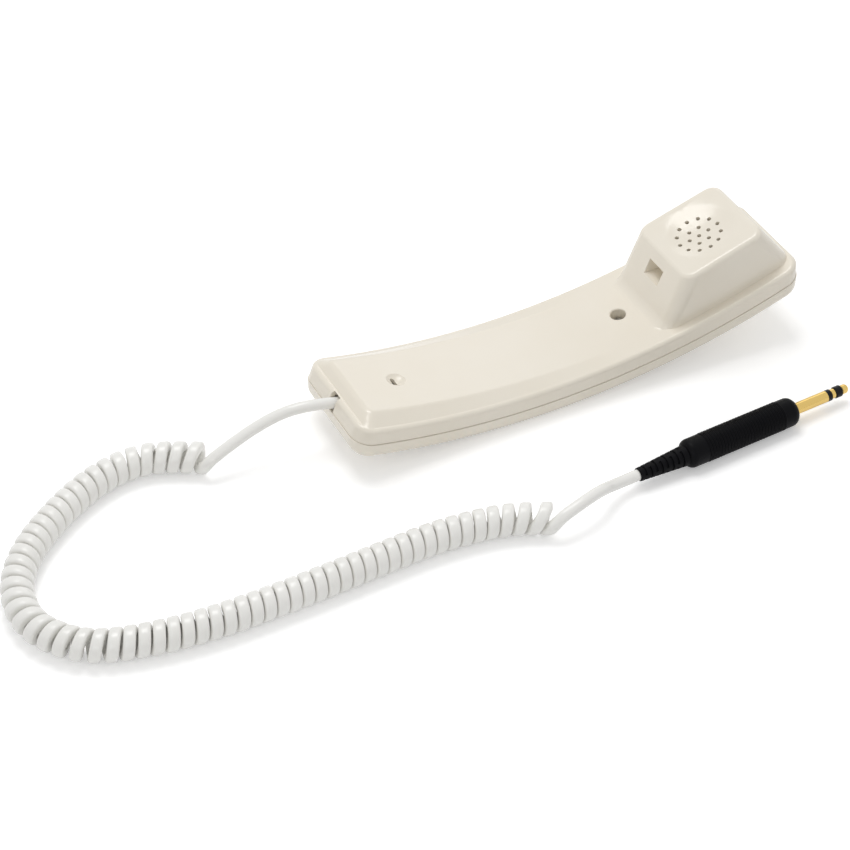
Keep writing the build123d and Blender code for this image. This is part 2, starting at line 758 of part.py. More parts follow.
def receiver_case():
    face = face_place()
    top = SEAT_DEPTH + GASKET_THICK
    case = disc(face, CASE_R, top, CASE_DEPTH)
    case = case - disc(face, CASE_R - CASE_WALL, SHOULDER_DEPTH, CASE_DEPTH)
    case = case - disc(face, SHOULDER_IN, top + CASE_FRONT, SHOULDER_DEPTH)
    for i in range(6):
        a = 2 * math.pi * i / 6
        x = CASE_HOLE_STEP * math.cos(a)
        y = CASE_HOLE_STEP * math.sin(a)
        case = case - disc(face, CASE_HOLE, top - 1, top + CASE_FRONT + 1, x, y)
    return case


def receiver_diaphragm():
    radius = CASE_R - CASE_WALL - 0.2
    return disc(face_place(), radius, SHOULDER_DEPTH, SHOULDER_DEPTH + DIAPHRAGM_THICK)


def receiver_coil():
    top = SHOULDER_DEPTH + DIAPHRAGM_THICK
    return tube(face_place(), VOICE_OUT, VOICE_IN, top, top + VOICE_LONG)


def receiver_pole():
    return disc(face_place(), POLE_R, POLE_TOP, POLE_TOP + POLE_THICK)


def receiver_magnet():
    top = POLE_TOP + POLE_THICK
    return disc(face_place(), MAGNET_R, top, top + MAGNET_THICK)


def receiver_yoke():
    face = face_place()
    floor = CASE_DEPTH - YOKE_FLOOR
    yoke = disc(face, CASE_R - CASE_WALL, floor, CASE_DEPTH)
    return yoke + tube(face, YOKE_RING_OUT, YOKE_RING_IN, POLE_TOP, floor)


def receiver_terminals():
    face = face_place()
    tabs = []
    for side in (-1, 1):
        middle = CASE_DEPTH + TAB_THICK / 2
        tabs.append(face * Pos(0, side * TAB_OFFSET, middle) * Box(TAB_LONG, TAB_WIDE, TAB_THICK))
    return Compound(children=tabs)


def receiver_retainer():
    face = face_place()
    plate = disc(face, CASE_R, CASE_DEPTH, CASE_DEPTH + RETAINER_THICK)
    for x, y in receiver_corners():
        plate = plate + disc(face, SMALL_BOSS, CASE_DEPTH, CASE_DEPTH + RETAINER_THICK, x, y)
        turn = math.degrees(math.atan2(y, x))
        reach = math.hypot(x, y) - RETAINER_IN
        arm = Rot(0, 0, turn) * Pos(RETAINER_IN + reach / 2, 0, CASE_DEPTH + RETAINER_THICK / 2)
        plate = plate + face * arm * Box(reach, 2 * SMALL_BOSS, RETAINER_THICK)
    plate = plate - disc(face, RETAINER_IN, CASE_DEPTH - 1, CASE_DEPTH + RETAINER_THICK + 1)
    for x, y in receiver_corners():
        plate = plate - disc(face, SMALL_SHANK, CASE_DEPTH - 1, CASE_DEPTH + RETAINER_THICK + 1, x, y)
    return plate


def small_screw(place, near, plate, x, y, shank_long):
    """screw from below: its head under the plate, its shank through it towards smaller depths"""
    far = near + plate
    shank = disc(place, SMALL_SHANK, far - shank_long, far, x, y)
    head = disc(place, SMALL_HEAD, far, far + SMALL_HEAD_THICK, x, y)
    return shank + head


def retainer_screws():
    face = face_place()
    long = RETAINER_THICK + SMALL_SHANK_LONG - PILOT_EXTRA
    screws = [small_screw(face, CASE_DEPTH, RETAINER_THICK, x, y, long) for x, y in receiver_corners()]
    return Compound(children=screws)


def mic_boot():
    mic = mic_place()
    boot = disc(mic, BOOT_R, MIC_BOSS_END, BOOT_END)
    boot = boot - disc(mic, CAPSULE_R, MIC_BOSS_END + BOOT_FRONT, BOOT_END + 1)
    return boot - disc(mic, BOOT_SOUND, MIC_BOSS_END - 1, MIC_BOSS_END + 2)


def mic_capsule():
    near = MIC_BOSS_END + BOOT_FRONT
    return disc(mic_place(), CAPSULE_R, near, near + CAPSULE_THICK)


def board_spots():
    return [(x, side * BOARD_POST_Y) for x in BOARD_POSTS_X for side in (-1, 1)]


def circuit_board():
    board = box_between((BOARD_X0, -BOARD_HALF, BOARD_LOW), (BOARD_X1, BOARD_HALF, BOARD_TOP))
    for x, y in board_spots():
        board = board - Pos(x, y, BOARD_LOW) * Cylinder(SMALL_SHANK, 8)
    return board


def board_screws():
    screws = []
    for x, y in board_spots():
        shank_top = BOARD_PILOT_END - 0.5
        shank = Pos(x, y, (shank_top + BOARD_LOW) / 2) * Cylinder(SMALL_SHANK, shank_top - BOARD_LOW)
        head = Pos(x, y, BOARD_LOW - SMALL_HEAD_THICK / 2) * Cylinder(SMALL_HEAD, SMALL_HEAD_THICK)
        screws.append(shank + head)
    return Compound(children=screws)


def terminal_spots():
    return [((BLOCK_X0 + BLOCK_X1) / 2, i * BLOCK_STEP) for i in (-1, 0, 1)]


def terminal_block():
    block = box_between((BLOCK_X0, -BLOCK_HALF, BLOCK_LOW), (BLOCK_X1, BLOCK_HALF, BOARD_LOW))
    for x, y in terminal_spots():
        block = block - Pos(x, y, BLOCK_LOW) * Cylinder(TERMINAL_SHANK_R, 2 * TERMINAL_SHANK)
    return block


def terminal_screws():
    screws = []
    for x, y in terminal_spots():
        shank = Pos(x, y, BLOCK_LOW + TERMINAL_SHANK / 2) * Cylinder(TERMINAL_SHANK_R, TERMINAL_SHANK)
        head = Pos(x, y, BLOCK_LOW - TERMINAL_HEAD / 2) * Cylinder(TERMINAL_R, TERMINAL_HEAD)
        screws.append(shank + head)
    return Compound(children=screws)


def board_capacitor():
    high = CAP_SIZE[2]
    body = Pos(CAP_X, CAP_Y, BOARD_LOW - high / 2) * Box(*CAP_SIZE)
    return fillet(body.edges().filter_by(Axis.Z), 1.0)


def board_chips():
    chips = []
    for x, y in CHIP_PLACES:
        chip = Pos(x, y, BOARD_LOW - CHIP_SIZE[2] / 2) * Box(*CHIP_SIZE)
        for i in range(CHIP_LEGS):
            for side in (-1, 1):
                leg_x = x + (i - (CHIP_LEGS - 1) / 2) * CHIP_STEP
                leg_y = y + side * (CHIP_SIZE[1] + CHIP_LEG[1]) / 2
                chip = chip + Pos(leg_x, leg_y, BOARD_LOW - CHIP_LEG[2] / 2) * Box(*CHIP_LEG)
        chips.append(chip)
    return Compound(children=chips)


def balance_weight():
    top = WEIGHT_LOW + WEIGHT_THICK
    bar = box_between((WEIGHT_X0, -WEIGHT_HALF, WEIGHT_LOW), (WEIGHT_X1, WEIGHT_HALF, top))
    bar = chamfer(bar.edges().filter_by(Axis.Z), 1.5)
    for x in WEIGHT_SCREWS_X:
        bar = bar - Pos(x, 0, WEIGHT_LOW) * Cylinder(SMALL_SHANK, 3 * WEIGHT_THICK)
    return bar


def weight_screws():
    screws = []
    top = WEIGHT_LOW + WEIGHT_THICK
    for x in WEIGHT_SCREWS_X:
        low = WEIGHT_PILOT_END + 1.4
        shank = Pos(x, 0, (top + low) / 2) * Cylinder(SMALL_SHANK, top - low)
        head = Pos(x, 0, top + SMALL_HEAD_THICK / 2) * Cylinder(SMALL_HEAD, SMALL_HEAD_THICK)
        screws.append(shank + head)
    return Compound(children=screws)


def cord_collar():
    return tube(exit_place(), COLLAR_R, WIRE_R, RIB_FAR, COLLAR_END)


def cord_clamp():
    plate = exit_box((-CLAMP_BOTTOM, -CLAMP_HALF, CLAMP_NEAR), (-CLAMP_TOP, CLAMP_HALF, CLAMP_FAR))
    plate = plate - disc(exit_place(), COLLAR_R, CLAMP_NEAR - 1, CLAMP_FAR + 1)
    for side in (-1, 1):
        middle = (CLAMP_NEAR + CLAMP_FAR) / 2
        hole = Pos(-CLAMP_BOTTOM, side * CLAMP_SCREW_Y, middle) * Rot(0, 90, 0) * Cylinder(SMALL_SHANK, 12)
        plate = plate - exit_place() * hole
    return plate


def clamp_screws():
    screws = []
    middle = (CLAMP_NEAR + CLAMP_FAR) / 2
    top = SMALL_SHANK_LONG - CLAMP_TOP - 1.5
    for side in (-1, 1):
        place = exit_place() * Pos(0, side * CLAMP_SCREW_Y, middle) * Rot(0, 90, 0)
        shank = place * Pos(0, 0, (top - CLAMP_BOTTOM) / 2) * Cylinder(SMALL_SHANK, top + CLAMP_BOTTOM)
        head = place * Pos(0, 0, -CLAMP_BOTTOM - SMALL_HEAD_THICK / 2) * Cylinder(SMALL_HEAD, SMALL_HEAD_THICK)
        screws.append(shank + head)
    return Compound(children=screws)


def corner_radii(points):
    """the largest bend that keeps a little of every straight run"""
    radii = []
    for i in range(1, len(points) - 1):
        back = Vector(points[i - 1]) - Vector(points[i])
        ahead = Vector(points[i + 1]) - Vector(points[i])
        turn = math.radians(180.0 - back.get_angle(ahead))
        radii.append(0.45 * min(back.length, ahead.length) / math.tan(turn / 2))
    return radii


def swept_wire(points, radius, corner=None):
    radii = corner_radii(points)
    if corner:
        radii = [min(corner, r) for r in radii]
    path = FilletPolyline(*points, radius=radii)
    start = Plane(origin=path @ 0, z_dir=path % 0)
    return sweep(start * Circle(radius), path=path), path


def from_place(place, x, y, z):
    return tuple((place * Pos(x, y, z)).position)


def cord_conductors():
    place = exit_place()
    wires = []
    for i in (-1, 0, 1):
        side = 1 if i >= 0 else -1
        wide = side * (WIRE_ASIDE + (WIRE_CLEAR if i == 0 else 0.0))
        end_y = i * BLOCK_STEP
        points = [
            from_place(place, 0, i * CORE_STEP, CORD_START),
            from_place(place, 0, i * CORE_STEP, CORD_START + 3.0),
            (-89.0, wide, 15.4),
            (-71.0, wide, 13.6),
            (-58.0, end_y, 13.2),
            (-35.0, end_y, 12.6),
            (-29.0, end_y, 7.0),
            (BLOCK_X0, end_y, 7.0),
        ]
        if i == 0:
            points[4] = (-58.0, 7.5, 13.6)
            points[5] = (-37.0, 0.0, 13.4)
        wires.append(swept_wire(points, CORE_R, 3.0)[0])
    return Compound(children=wires)


def mic_wires():
    mic = mic_place()
    near = MIC_BOSS_END + BOOT_FRONT + CAPSULE_THICK
    wires = []
    for side in (-1, 1):
        points = [
            from_place(mic, 0, -side * 2.0, near),
            from_place(mic, 0, -side * 2.0, near + 3.0),
            (-66.0, side * 3.0, 11.9),
            (-31.0, side * 3.0, 11.9),
            (-28.0, side * 3.0, 10.2),
            (BOARD_X0, side * 3.0, 10.2),
        ]
        wires.append(swept_wire(points, FINE_R, 2.0)[0])
    return Compound(children=wires)


def receiver_wires():
    face = face_place()
    near = CASE_DEPTH + TAB_THICK
    level = (BOARD_LOW + BOARD_TOP) / 2
    wires = []
    for side in (-1, 1):
        points = [
            from_place(face, 0, -side * TAB_OFFSET, near),
            from_place(face, 0, -side * TAB_OFFSET, near + 4.0),
            (60.0, side * 7.5, 22.0),
            (42.0, side * 7.5, 13.5),
            (27.0, side * 7.5, level),
            (BOARD_X1, side * 7.5, level),
        ]
        wires.append(swept_wire(points, FINE_R, 3.0)[0])
    return Compound(children=wires)


class Curls:
    """wire wound about a smooth line on the table"""

    def __init__(self):
        self.count = 4000
        self.spans = len(COIL_AXIS) - 2
        self.samples = []
        run = 0.0
        wound = 0.0
        last = None
        for i in range(self.count + 1):
            u = self.spans * i / self.count
            x, y, dx, dy, bend = self.axis(u)
            if last:
                step = math.hypot(x - last[0], y - last[1])
                run = run + step
                wound = wound + step * (1 - COIL_R * bend)
            last = (x, y)
            self.samples.append((run, wound, u))
        self.run = run
        self.wound = wound

    def axis(self, u):
        """point, direction and bend of the clamped quadratic spline"""
        span = min(int(u), self.spans - 1)
        knots = [0, 0, 0] + list(range(1, self.spans)) + [self.spans] * 3
        p = COIL_AXIS[span:span + 3]
        t1, t2, t3, t4 = knots[span + 1:span + 5]
        a = (u - t1) / (t3 - t1)
        b = (u - t2) / (t4 - t2)
        c = (u - t2) / (t3 - t2)
        first = [p[0][k] * (1 - a) + p[1][k] * a for k in (0, 1)]
        second = [p[1][k] * (1 - b) + p[2][k] * b for k in (0, 1)]
        fast = [2 * (second[k] - first[k]) / (t3 - t2) for k in (0, 1)]
        v1 = [(p[1][k] - p[0][k]) / (t3 - t1) for k in (0, 1)]
        v2 = [(p[2][k] - p[1][k]) / (t4 - t2) for k in (0, 1)]
        curve = [2 * (v2[k] - v1[k]) / (t3 - t2) for k in (0, 1)]
        x = first[0] * (1 - c) + second[0] * c
        y = first[1] * (1 - c) + second[1] * c
        speed = math.hypot(fast[0], fast[1])
        bend = abs(fast[0] * curve[1] - fast[1] * curve[0]) / speed ** 3
        return x, y, fast[0] / speed, fast[1] / speed, bend

    def look_up(self, value, column, wanted):
        low = 0
        high = self.count
        while high - low > 1:
            middle = (low + high) // 2
            if self.samples[middle][column] < value:
                low = middle
            else:
                high = middle
        a = self.samples[low]
        b = self.samples[high]
        share = (value - a[column]) / (b[column] - a[column])
        return a[wanted] + share * (b[wanted] - a[wanted])

    def along(self, q):
        """axis point and direction at this run, straight on beyond both ends"""
        inside = min(max(q, 0.0), self.run)
        x, y, dx, dy, bend = self.axis(min(self.look_up(inside, 0, 2), self.spans))
        extra = q - inside
        return x + extra * dx, y + extra * dy, dx, dy

    def point(self, t):
        """middle of the wire after t turns"""
        pitch = self.wound / TURNS
        phi = -math.pi / 2 - 2 * math.pi * t
        up = (1 + math.sin(phi)) / 2
        if t < 0:
            q = t * pitch - TAIL_OPEN * (2 * math.pi * t) ** 2
        else:
            q = self.look_up(min(t, TURNS) * pitch, 1, 0) if t < TURNS else self.run + (t - TURNS) * pitch
            q = q - TAIL_LEAN * math.exp(-t / TAIL_FADE) * up
        if t > TURNS:
            q = q + LEAD_OPEN * (2 * math.pi * (t - TURNS)) ** 2
        else:
            q = q + LEAD_LEAN * math.exp(-(TURNS - t) / LEAD_FADE) * up
        q = q - END_EASE * math.exp(-max(t, 0.0)) + END_EASE * math.exp(-max(TURNS - t, 0.0))
        x, y, dx, dy = self.along(q)
        side = COIL_R * math.cos(phi)
        return (x - dy * side, y + dx * side, COIL_Z + COIL_R * math.sin(phi))

    def direction(self, t):
        step = 0.002
        ahead = Vector(self.point(t + step))
        back = Vector(self.point(t - step))
        return (ahead - back).normalized()

    def ends(self):
        """where the wound wire begins and ends, one wire width out along its own line"""
        t0 = -TAIL_OUT
        t1 = TURNS + LEAD_OUT
        out0 = self.direction(t0) * -1
        out1 = self.direction(t1)
        start = Vector(self.point(t0))
        stop = Vector(self.point(t1))
        return (start, out0, start + out0 * 2 * WIRE_R), (stop, out1, stop + out1 * 2 * WIRE_R)

    def least_gap(self):
        steps = 48
        total = int((TURNS + TAIL_OUT + LEAD_OUT) * steps)
        dots = [Vector(self.point(-TAIL_OUT + i / steps)) for i in range(total + 1)]
        least = 99.0
        for i, dot in enumerate(dots):
            for j in range(i + steps // 2, min(i + steps * 2, total + 1)):
                least = min(least, (dots[j] - dot).length)
        return least - 2 * WIRE_R

    def path(self):
        (start, out0, far0), (stop, out1, far1) = self.ends()
        spans = round((TURNS + TAIL_OUT + LEAD_OUT) * NODES_PER_TURN)
        times = [-TAIL_OUT + (TURNS + TAIL_OUT + LEAD_OUT) * i / spans for i in range(spans + 1)]
        pieces = [Line(far0, start)]
        tightest = 999.0
        before = start
        heading = self.direction(times[0])
        for t in times[1:]:
            point = Vector(self.point(t))
            way = self.direction(t)
            gap = point - before
            both = heading + way
            a = 2 * (heading.dot(way) - 1)
            b = -2 * gap.dot(both)
            c = gap.dot(gap)
            # handle length that makes the two arcs share their tangent
            reach = (-b - math.sqrt(b * b - 4 * a * c)) / (2 * a) if abs(a) > 1e-9 else -c / b
            knee0 = before + heading * reach
            knee1 = point - way * reach
            joint = (knee0 + knee1) * 0.5
            for p, q, k, d in ((before, joint, knee0, heading), (joint, point, knee1, None)):
                tangent = (k - p).normalized() if d is None else d
                pieces.append(TangentArc(p, q, tangent=tangent))
                chord = (q - p).length
                turn = math.radians((k - p).get_angle(q - p))
                tightest = min(tightest, chord / (2 * math.sin(turn)))
            before = point
            heading = way
        pieces.append(Line(stop, far1))
        return Wire(pieces), tightest


def cord_routes(curls):
    """straight runs of the cord before and after the curls"""
    (start, out0, far0), (stop, out1, far1) = curls.ends()
    first = from_place(exit_place(), 0, 0, CORD_START)
    second = from_place(exit_place(), 0, 0, CORD_START - TAIL_FIRST_RUN)
    tail = [first, second, tuple(far0 + out0 * TAIL_LAST_RUN), tuple(far0)]
    a = math.radians(PLUG_HEADING)
    before = (PLUG_X - LEAD_LAST_RUN * math.cos(a), PLUG_Y - LEAD_LAST_RUN * math.sin(a), PLUG_Z)
    lead = [tuple(far1), tuple(far1 + out1 * LEAD_FIRST_RUN), before, (PLUG_X, PLUG_Y, PLUG_Z)]
    return tail, lead


def plug_place():
    a = math.radians(PLUG_HEADING)
    along = (math.cos(a), math.sin(a), 0)
    return Plane(origin=(PLUG_X, PLUG_Y, PLUG_Z), x_dir=(0, 0, 1), z_dir=along).location


def plug_relief():
    place = plug_place()
    body = place * Pos(0, 0, RELIEF_LONG / 2) * Cone(RELIEF_R0, RELIEF_R1, RELIEF_LONG)
    rear = body.edges().filter_by(GeomType.CIRCLE).sort_by(Axis.X)[:1]
    body = fillet(rear, RELIEF_ROUND)
    for i in range(RIB_COUNT):
        z = RIB_FIRST + i * RIB_STEP
        slope = (RELIEF_R1 - RELIEF_R0) / RELIEF_LONG
        r = RELIEF_R0 + slope * z
        near = r - RIB_DEEP - slope * RIB_GROOVE / 2
        far = r - RIB_DEEP + slope * RIB_GROOVE / 2
        ring = Pos(0, 0, z) * (Cylinder(r + 1, RIB_GROOVE) - Cone(near, far, RIB_GROOVE))
        across = 2 * r + 4
        bridge = Box(across, RIB_BRIDGE, 3) if i % 2 else Box(RIB_BRIDGE, across, 3)
        body = body - place * (ring - Pos(0, 0, z) * bridge)
    return body


def barrel_start():
    return RELIEF_LONG


def plug_barrel():
    place = plug_place()
    z0 = barrel_start()
    body = disc(place, BARREL_R, z0, z0 + BARREL_LONG)
    rims = body.edges().filter_by(GeomType.CIRCLE).sort_by(Axis.X)
    body = fillet(rims[:1], BARREL_REAR_ROUND)
    rims = body.edges().filter_by(GeomType.CIRCLE).sort_by(Axis.X)
    body = fillet(rims[-1:], BARREL_FRONT_ROUND)
    for i in range(RING_COUNT):
        z = z0 + RING_FIRST + i * RING_STEP
        body = body - tube(place, BARREL_R + 1, BARREL_R - RING_DEEP, z, z + RING_WIDE)
    return body - disc(place, SOCKET_R, z0 + SOCKET_DEEP, z0 + BARREL_LONG + 1)


def plug_core():
    place = plug_place()
    z0 = barrel_start()
    end = z0 + BARREL_LONG
    return disc(place, SOCKET_R, z0 + SOCKET_DEEP, end)


def pin_start():
    return RELIEF_LONG + BARREL_LONG


def pin_part(radius, near, long, rounding):
    body = disc(plug_place(), radius, near, near + long)
    if rounding:
        body = chamfer(body.edges().filter_by(GeomType.CIRCLE), rounding)
    return body


def plug_sleeve():
    return pin_part(SLEEVE_R, pin_start(), SLEEVE_LONG, 0.0)


def plug_rear_insulator():
    return pin_part(REAR_INSULATOR_R, pin_start() + SLEEVE_LONG, REAR_INSULATOR_LONG, 0.0)


def plug_ring():
    near = pin_start() + SLEEVE_LONG + REAR_INSULATOR_LONG
    return pin_part(RING_R, near, RING_LONG, PIN_ROUND)


def plug_front_insulator():
    near = pin_start() + SLEEVE_LONG + REAR_INSULATOR_LONG + RING_LONG
    return pin_part(FRONT_INSULATOR_R, near, FRONT_INSULATOR_LONG, PIN_ROUND)


def plug_tip():
    near = pin_start() + SLEEVE_LONG + REAR_INSULATOR_LONG + RING_LONG + FRONT_INSULATOR_LONG
    body = disc(plug_place(), TIP_R, near, near + TIP_LONG)
    far = body.edges().filter_by(GeomType.CIRCLE).sort_by(Axis.X)
    body = fillet(far[-1:], TIP_R - TIP_FLAT)
    near_rim = body.edges().filter_by(GeomType.CIRCLE).sort_by(Axis.X)
    return chamfer(near_rim[:1], PIN_ROUND)


def cord_coil(curls):
    path, tightest = curls.path()
    start = Plane(origin=path @ 0, z_dir=path % 0)
    solid = sweep(start * Circle(WIRE_R), path=path)
    expected = math.pi * WIRE_R ** 2 * path.length
    print("curls: least gap", round(curls.least_gap(), 3), "tightest bend", round(tightest, 2),
          "length", round(path.length, 1), "volume share", round(solid.volume / expected, 4))
    return solid


def cord_run(points, name):
    solid, path = swept_wire(points, WIRE_R)
    expected = math.pi * WIRE_R ** 2 * path.length
    print(name, "radii", [round(r, 1) for r in corner_radii(points)], "length", round(path.length, 1),
          "volume share", round(solid.volume / expected, 4))
    return solid


def save(name, shape):
    shape.label = name
    export_step(shape, os.path.join("parts", name + ".step"))
    print(name, "valid", shape.is_valid, "volume", round(shape.volume, 1), "solids", len(shape.solids()))


def main():
    os.makedirs("parts", exist_ok=True)
    curls = Curls()
    tail, lead = cord_routes(curls)
    print("tail", [[round(v, 2) for v in p] for p in tail])
    print("lead", [[round(v, 2) for v in p] for p in lead])
    builders = (
        front_shell, rear_cover, case_screw, case_insert,
        receiver_gasket, receiver_case, receiver_diaphragm, receiver_coil, receiver_pole, receiver_magnet,
        receiver_yoke, receiver_terminals, receiver_retainer, retainer_screws,
        mic_boot, mic_capsule, circuit_board, board_screws, terminal_block, terminal_screws,
        board_capacitor, board_chips, balance_weight, weight_screws,
        cord_collar, cord_clamp, clamp_screws, cord_conductors, mic_wires, receiver_wires,
        plug_relief, plug_barrel, plug_core, plug_sleeve, plug_rear_insulator, plug_ring,
        plug_front_insulator, plug_tip,
    )
    for build in builders:
        save(build.__name__, build())
    save("cord_tail", cord_run(tail, "tail"))
    save("cord_lead", cord_run(lead, "lead"))
    save("cord_coil", cord_coil(curls))


if __name__ == "__main__":
    main()
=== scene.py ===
import math

import bmesh
import bpy
from mathutils import Matrix, Vector


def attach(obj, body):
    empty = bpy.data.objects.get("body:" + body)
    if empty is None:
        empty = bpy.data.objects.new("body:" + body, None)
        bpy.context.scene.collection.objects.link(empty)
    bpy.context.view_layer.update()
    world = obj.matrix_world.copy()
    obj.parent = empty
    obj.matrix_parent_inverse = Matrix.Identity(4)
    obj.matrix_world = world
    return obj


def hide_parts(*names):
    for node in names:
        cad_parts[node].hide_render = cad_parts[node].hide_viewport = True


bl_info = {
    "name": "Telephone handset",
    "version": (1, 0, 0),
    "blender": (4, 5, 0),
    "location": "View3D > Sidebar > Handset",
    "description": "Casing, curly cord, plug and studio of a corded telephone handset",
    "category": "Object",
}

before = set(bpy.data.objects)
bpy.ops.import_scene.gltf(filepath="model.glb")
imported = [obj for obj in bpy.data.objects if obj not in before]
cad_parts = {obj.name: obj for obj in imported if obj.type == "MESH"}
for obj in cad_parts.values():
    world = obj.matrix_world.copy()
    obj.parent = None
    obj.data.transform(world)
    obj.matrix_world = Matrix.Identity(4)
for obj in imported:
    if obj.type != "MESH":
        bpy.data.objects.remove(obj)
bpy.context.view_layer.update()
BODY = "root"
MM = 0.001

# Route of the cord from inside the casing to the curls, the line the curls wind about, and the run to the
# plug. Control points in millimetres, the same as the solid's, whose source works out those of the free runs.
TAIL_ROUTE = (
    (-97.18, 0.0, 18.69), (-116.81, 0.0, 26.15), (-137.99, 5.36, 20.62), (-156.36, 3.90, 12.86))
COIL_AXIS = (
    (-166.8, 10.4), (-175.5, 15.6), (-190.0, 20.6), (-209.0, 17.2), (-229.0, 6.5), (-249.0, -9.0),
    (-261.5, -27.0), (-264.0, -49.0), (-252.5, -67.5), (-236.5, -76.0), (-206.0, -81.5),
    (-170.0, -81.6), (-130.0, -79.6), (-100.0, -78.0), (-76.0, -80.6), (-63.0, -84.6), (-55.8, -88.2),
)
LEAD_ROUTE = (
    (-42.30, -93.45, 12.58), (-31.67, -91.56, 14.67), (-17.88, -83.49, 6.40), (-6.90, -82.80, 6.40))
PLUG_START = Vector((-6.9, -82.8, 6.4)) * MM
PLUG_HEADING = math.radians(3.6)

# How the curls open at their two ends: the lean of the last curl along the line in millimetres and the turns
# over which it fades, the turns that the cord runs on past the end, and how fast it opens there.
TAIL_END = {"lean": 2.9, "fade": 1.1, "out": 0.40, "open": 0.90}
LEAD_END = {"lean": 6.2, "fade": 1.0, "out": 0.45, "open": 0.92}
# Millimetres that the curls spread outwards along the line at both ends.
END_EASE = 0.8

# How finely the cord is drawn: points to a turn, sides round the sheath, points between two control points
# of the curls' line and of the free runs, and the step along the free runs.
CURL_STEPS = 30
SHEATH_SIDES = 24
AXIS_STEPS = 60
ROUTE_STEPS = 40
RUN_STEP = 0.9 * MM
BRIDGE_POINTS = 4

# The sheath is round where it is free. It goes flat over so many turns' points, the first part of them
# outside the curls.
ROUND_POWER = 2.0
FLATTEN_BEFORE = 0.4
FLATTEN_OVER = 1.4

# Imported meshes: vertices nearer than this become one, and large faces decide the shading.
MERGE_DISTANCE = 1e-6
LARGE_FACES_FIRST = 100

# Sockets of the colour mix node, size of the slow tone drift in millimetres, and the divisor of the scale of
# the wave node.
MIX_FACTOR = 0
MIX_A = 6
MIX_B = 7
MIX_COLOUR = 2
DRIFT_SIZE = 35
WAVE_DIVISOR = 6.283

# The camera that was fitted to the photograph, with its sensor in millimetres, where the lamps point, and the
# floor's half width and drop under the object, in metres.
CAMERA_PLACE = (-0.42381, -0.70100, 0.68415)
SENSOR_WIDTH = 36.0
CLIP_START = 0.01
LAMP_AIM = Vector((-0.06, -0.03, 0.0))
FLOOR_REACH = 3.0
FLOOR_DROP = 0.0002


# Small helpers


def linear(hex_colour):
    """sRGB hex to the linear colour that the shaders take"""
    parts = [int(hex_colour[i:i + 2], 16) / 255 for i in (1, 3, 5)]
    return [c / 12.92 if c <= 0.04045 else ((c + 0.055) / 1.055) ** 2.4 for c in parts] + [1.0]


def add_node(tree, kind, values=None, links=None, **settings):
    node = tree.nodes.new(kind)
    for key, value in settings.items():
        setattr(node, key, value)
    for key, value in (values or {}).items():
        node.inputs[key].default_value = value
    for key, source in (links or {}).items():
        tree.links.new(source, node.inputs[key])
    return node


def new_material(name):
    material = bpy.data.materials.new(name)
    material.use_nodes = True
    material.node_tree.nodes.clear()
    return material, material.node_tree


def moulded_plastic(name, colour, flow, share, roughness, ior, grain, depth, specular=0.5):
    """grain and depth in millimetres; flow is the tone of moulding's slow drift, share the most of it"""
    material, tree = new_material(name)
    place = add_node(tree, "ShaderNodeTexCoord").outputs["Object"]
    drift = add_node(tree, "ShaderNodeTexNoise", {"Scale": 1 / (DRIFT_SIZE * MM), "Detail": 2.0},
                     {"Vector": place})
    level = add_node(tree, "ShaderNodeMapRange", {"From Min": 0.35, "From Max": 0.65, "To Max": share},
                     {"Value": drift.outputs["Fac"]})
    tone = add_node(tree, "ShaderNodeMix", {MIX_A: linear(colour), MIX_B: linear(flow)},
                    {MIX_FACTOR: level.outputs["Result"]}, data_type="RGBA")
    fine = add_node(tree, "ShaderNodeTexNoise", {"Scale": 1 / (grain * MM), "Detail": 3.0},
                    {"Vector": place})
    bump = add_node(tree, "ShaderNodeBump", {"Strength": 0.5, "Distance": depth * MM},
                    {"Height": fine.outputs["Fac"]})
    shader = add_node(tree, "ShaderNodeBsdfPrincipled",
                      {"Roughness": roughness, "IOR": ior, "Specular IOR Level": specular},
                      {"Base Color": tone.outputs[MIX_COLOUR], "Normal": bump.outputs["Normal"]})
    add_node(tree, "ShaderNodeOutputMaterial", links={"Surface": shader.outputs["BSDF"]})
    return material


def turned_metal(name, colour, roughness, groove, depth, along=None):
    """lathe marks across the axis when along is given, a fine even grain when not"""
    material, tree = new_material(name)
    place = add_node(tree, "ShaderNodeTexCoord").outputs["Object"]
    if along is None:
        marks = add_node(tree, "ShaderNodeTexNoise", {"Scale": 1 / (groove * MM), "Detail": 4.0},
                         {"Vector": place}).outputs["Fac"]
    else:
        turned = add_node(tree, "ShaderNodeMapping", {"Rotation": (0.0, 0.0, -along)}, {"Vector": place},
                          vector_type="POINT")
        marks = add_node(tree, "ShaderNodeTexWave",
                         {"Scale": 1 / (groove * MM) / WAVE_DIVISOR, "Distortion": 0.4},
                         {"Vector": turned.outputs["Vector"]}, bands_direction="X").outputs["Fac"]
    bump = add_node(tree, "ShaderNodeBump", {"Strength": 0.4, "Distance": depth * MM}, {"Height": marks})
    shader = add_node(tree, "ShaderNodeBsdfPrincipled",
                      {"Base Color": linear(colour), "Metallic": 1.0, "Roughness": roughness},
                      {"Normal": bump.outputs["Normal"]})
    add_node(tree, "ShaderNodeOutputMaterial", links={"Surface": shader.outputs["BSDF"]})
    return material


def seen_or_mirrored(tree):
    """1 for rays from the camera, off a mirror or through glass, 0 for light that only bounces"""
    seen = add_node(tree, "ShaderNodeLightPath")
    glossy = add_node(tree, "ShaderNodeMath", {}, {0: seen.outputs["Is Camera Ray"],
                      1: seen.outputs["Is Glossy Ray"]}, operation="MAXIMUM")
    shown = add_node(tree, "ShaderNodeMath", {}, {0: glossy.outputs[0],
                     1: seen.outputs["Is Transmission Ray"]}, operation="MAXIMUM")
    return shown.outputs[0]


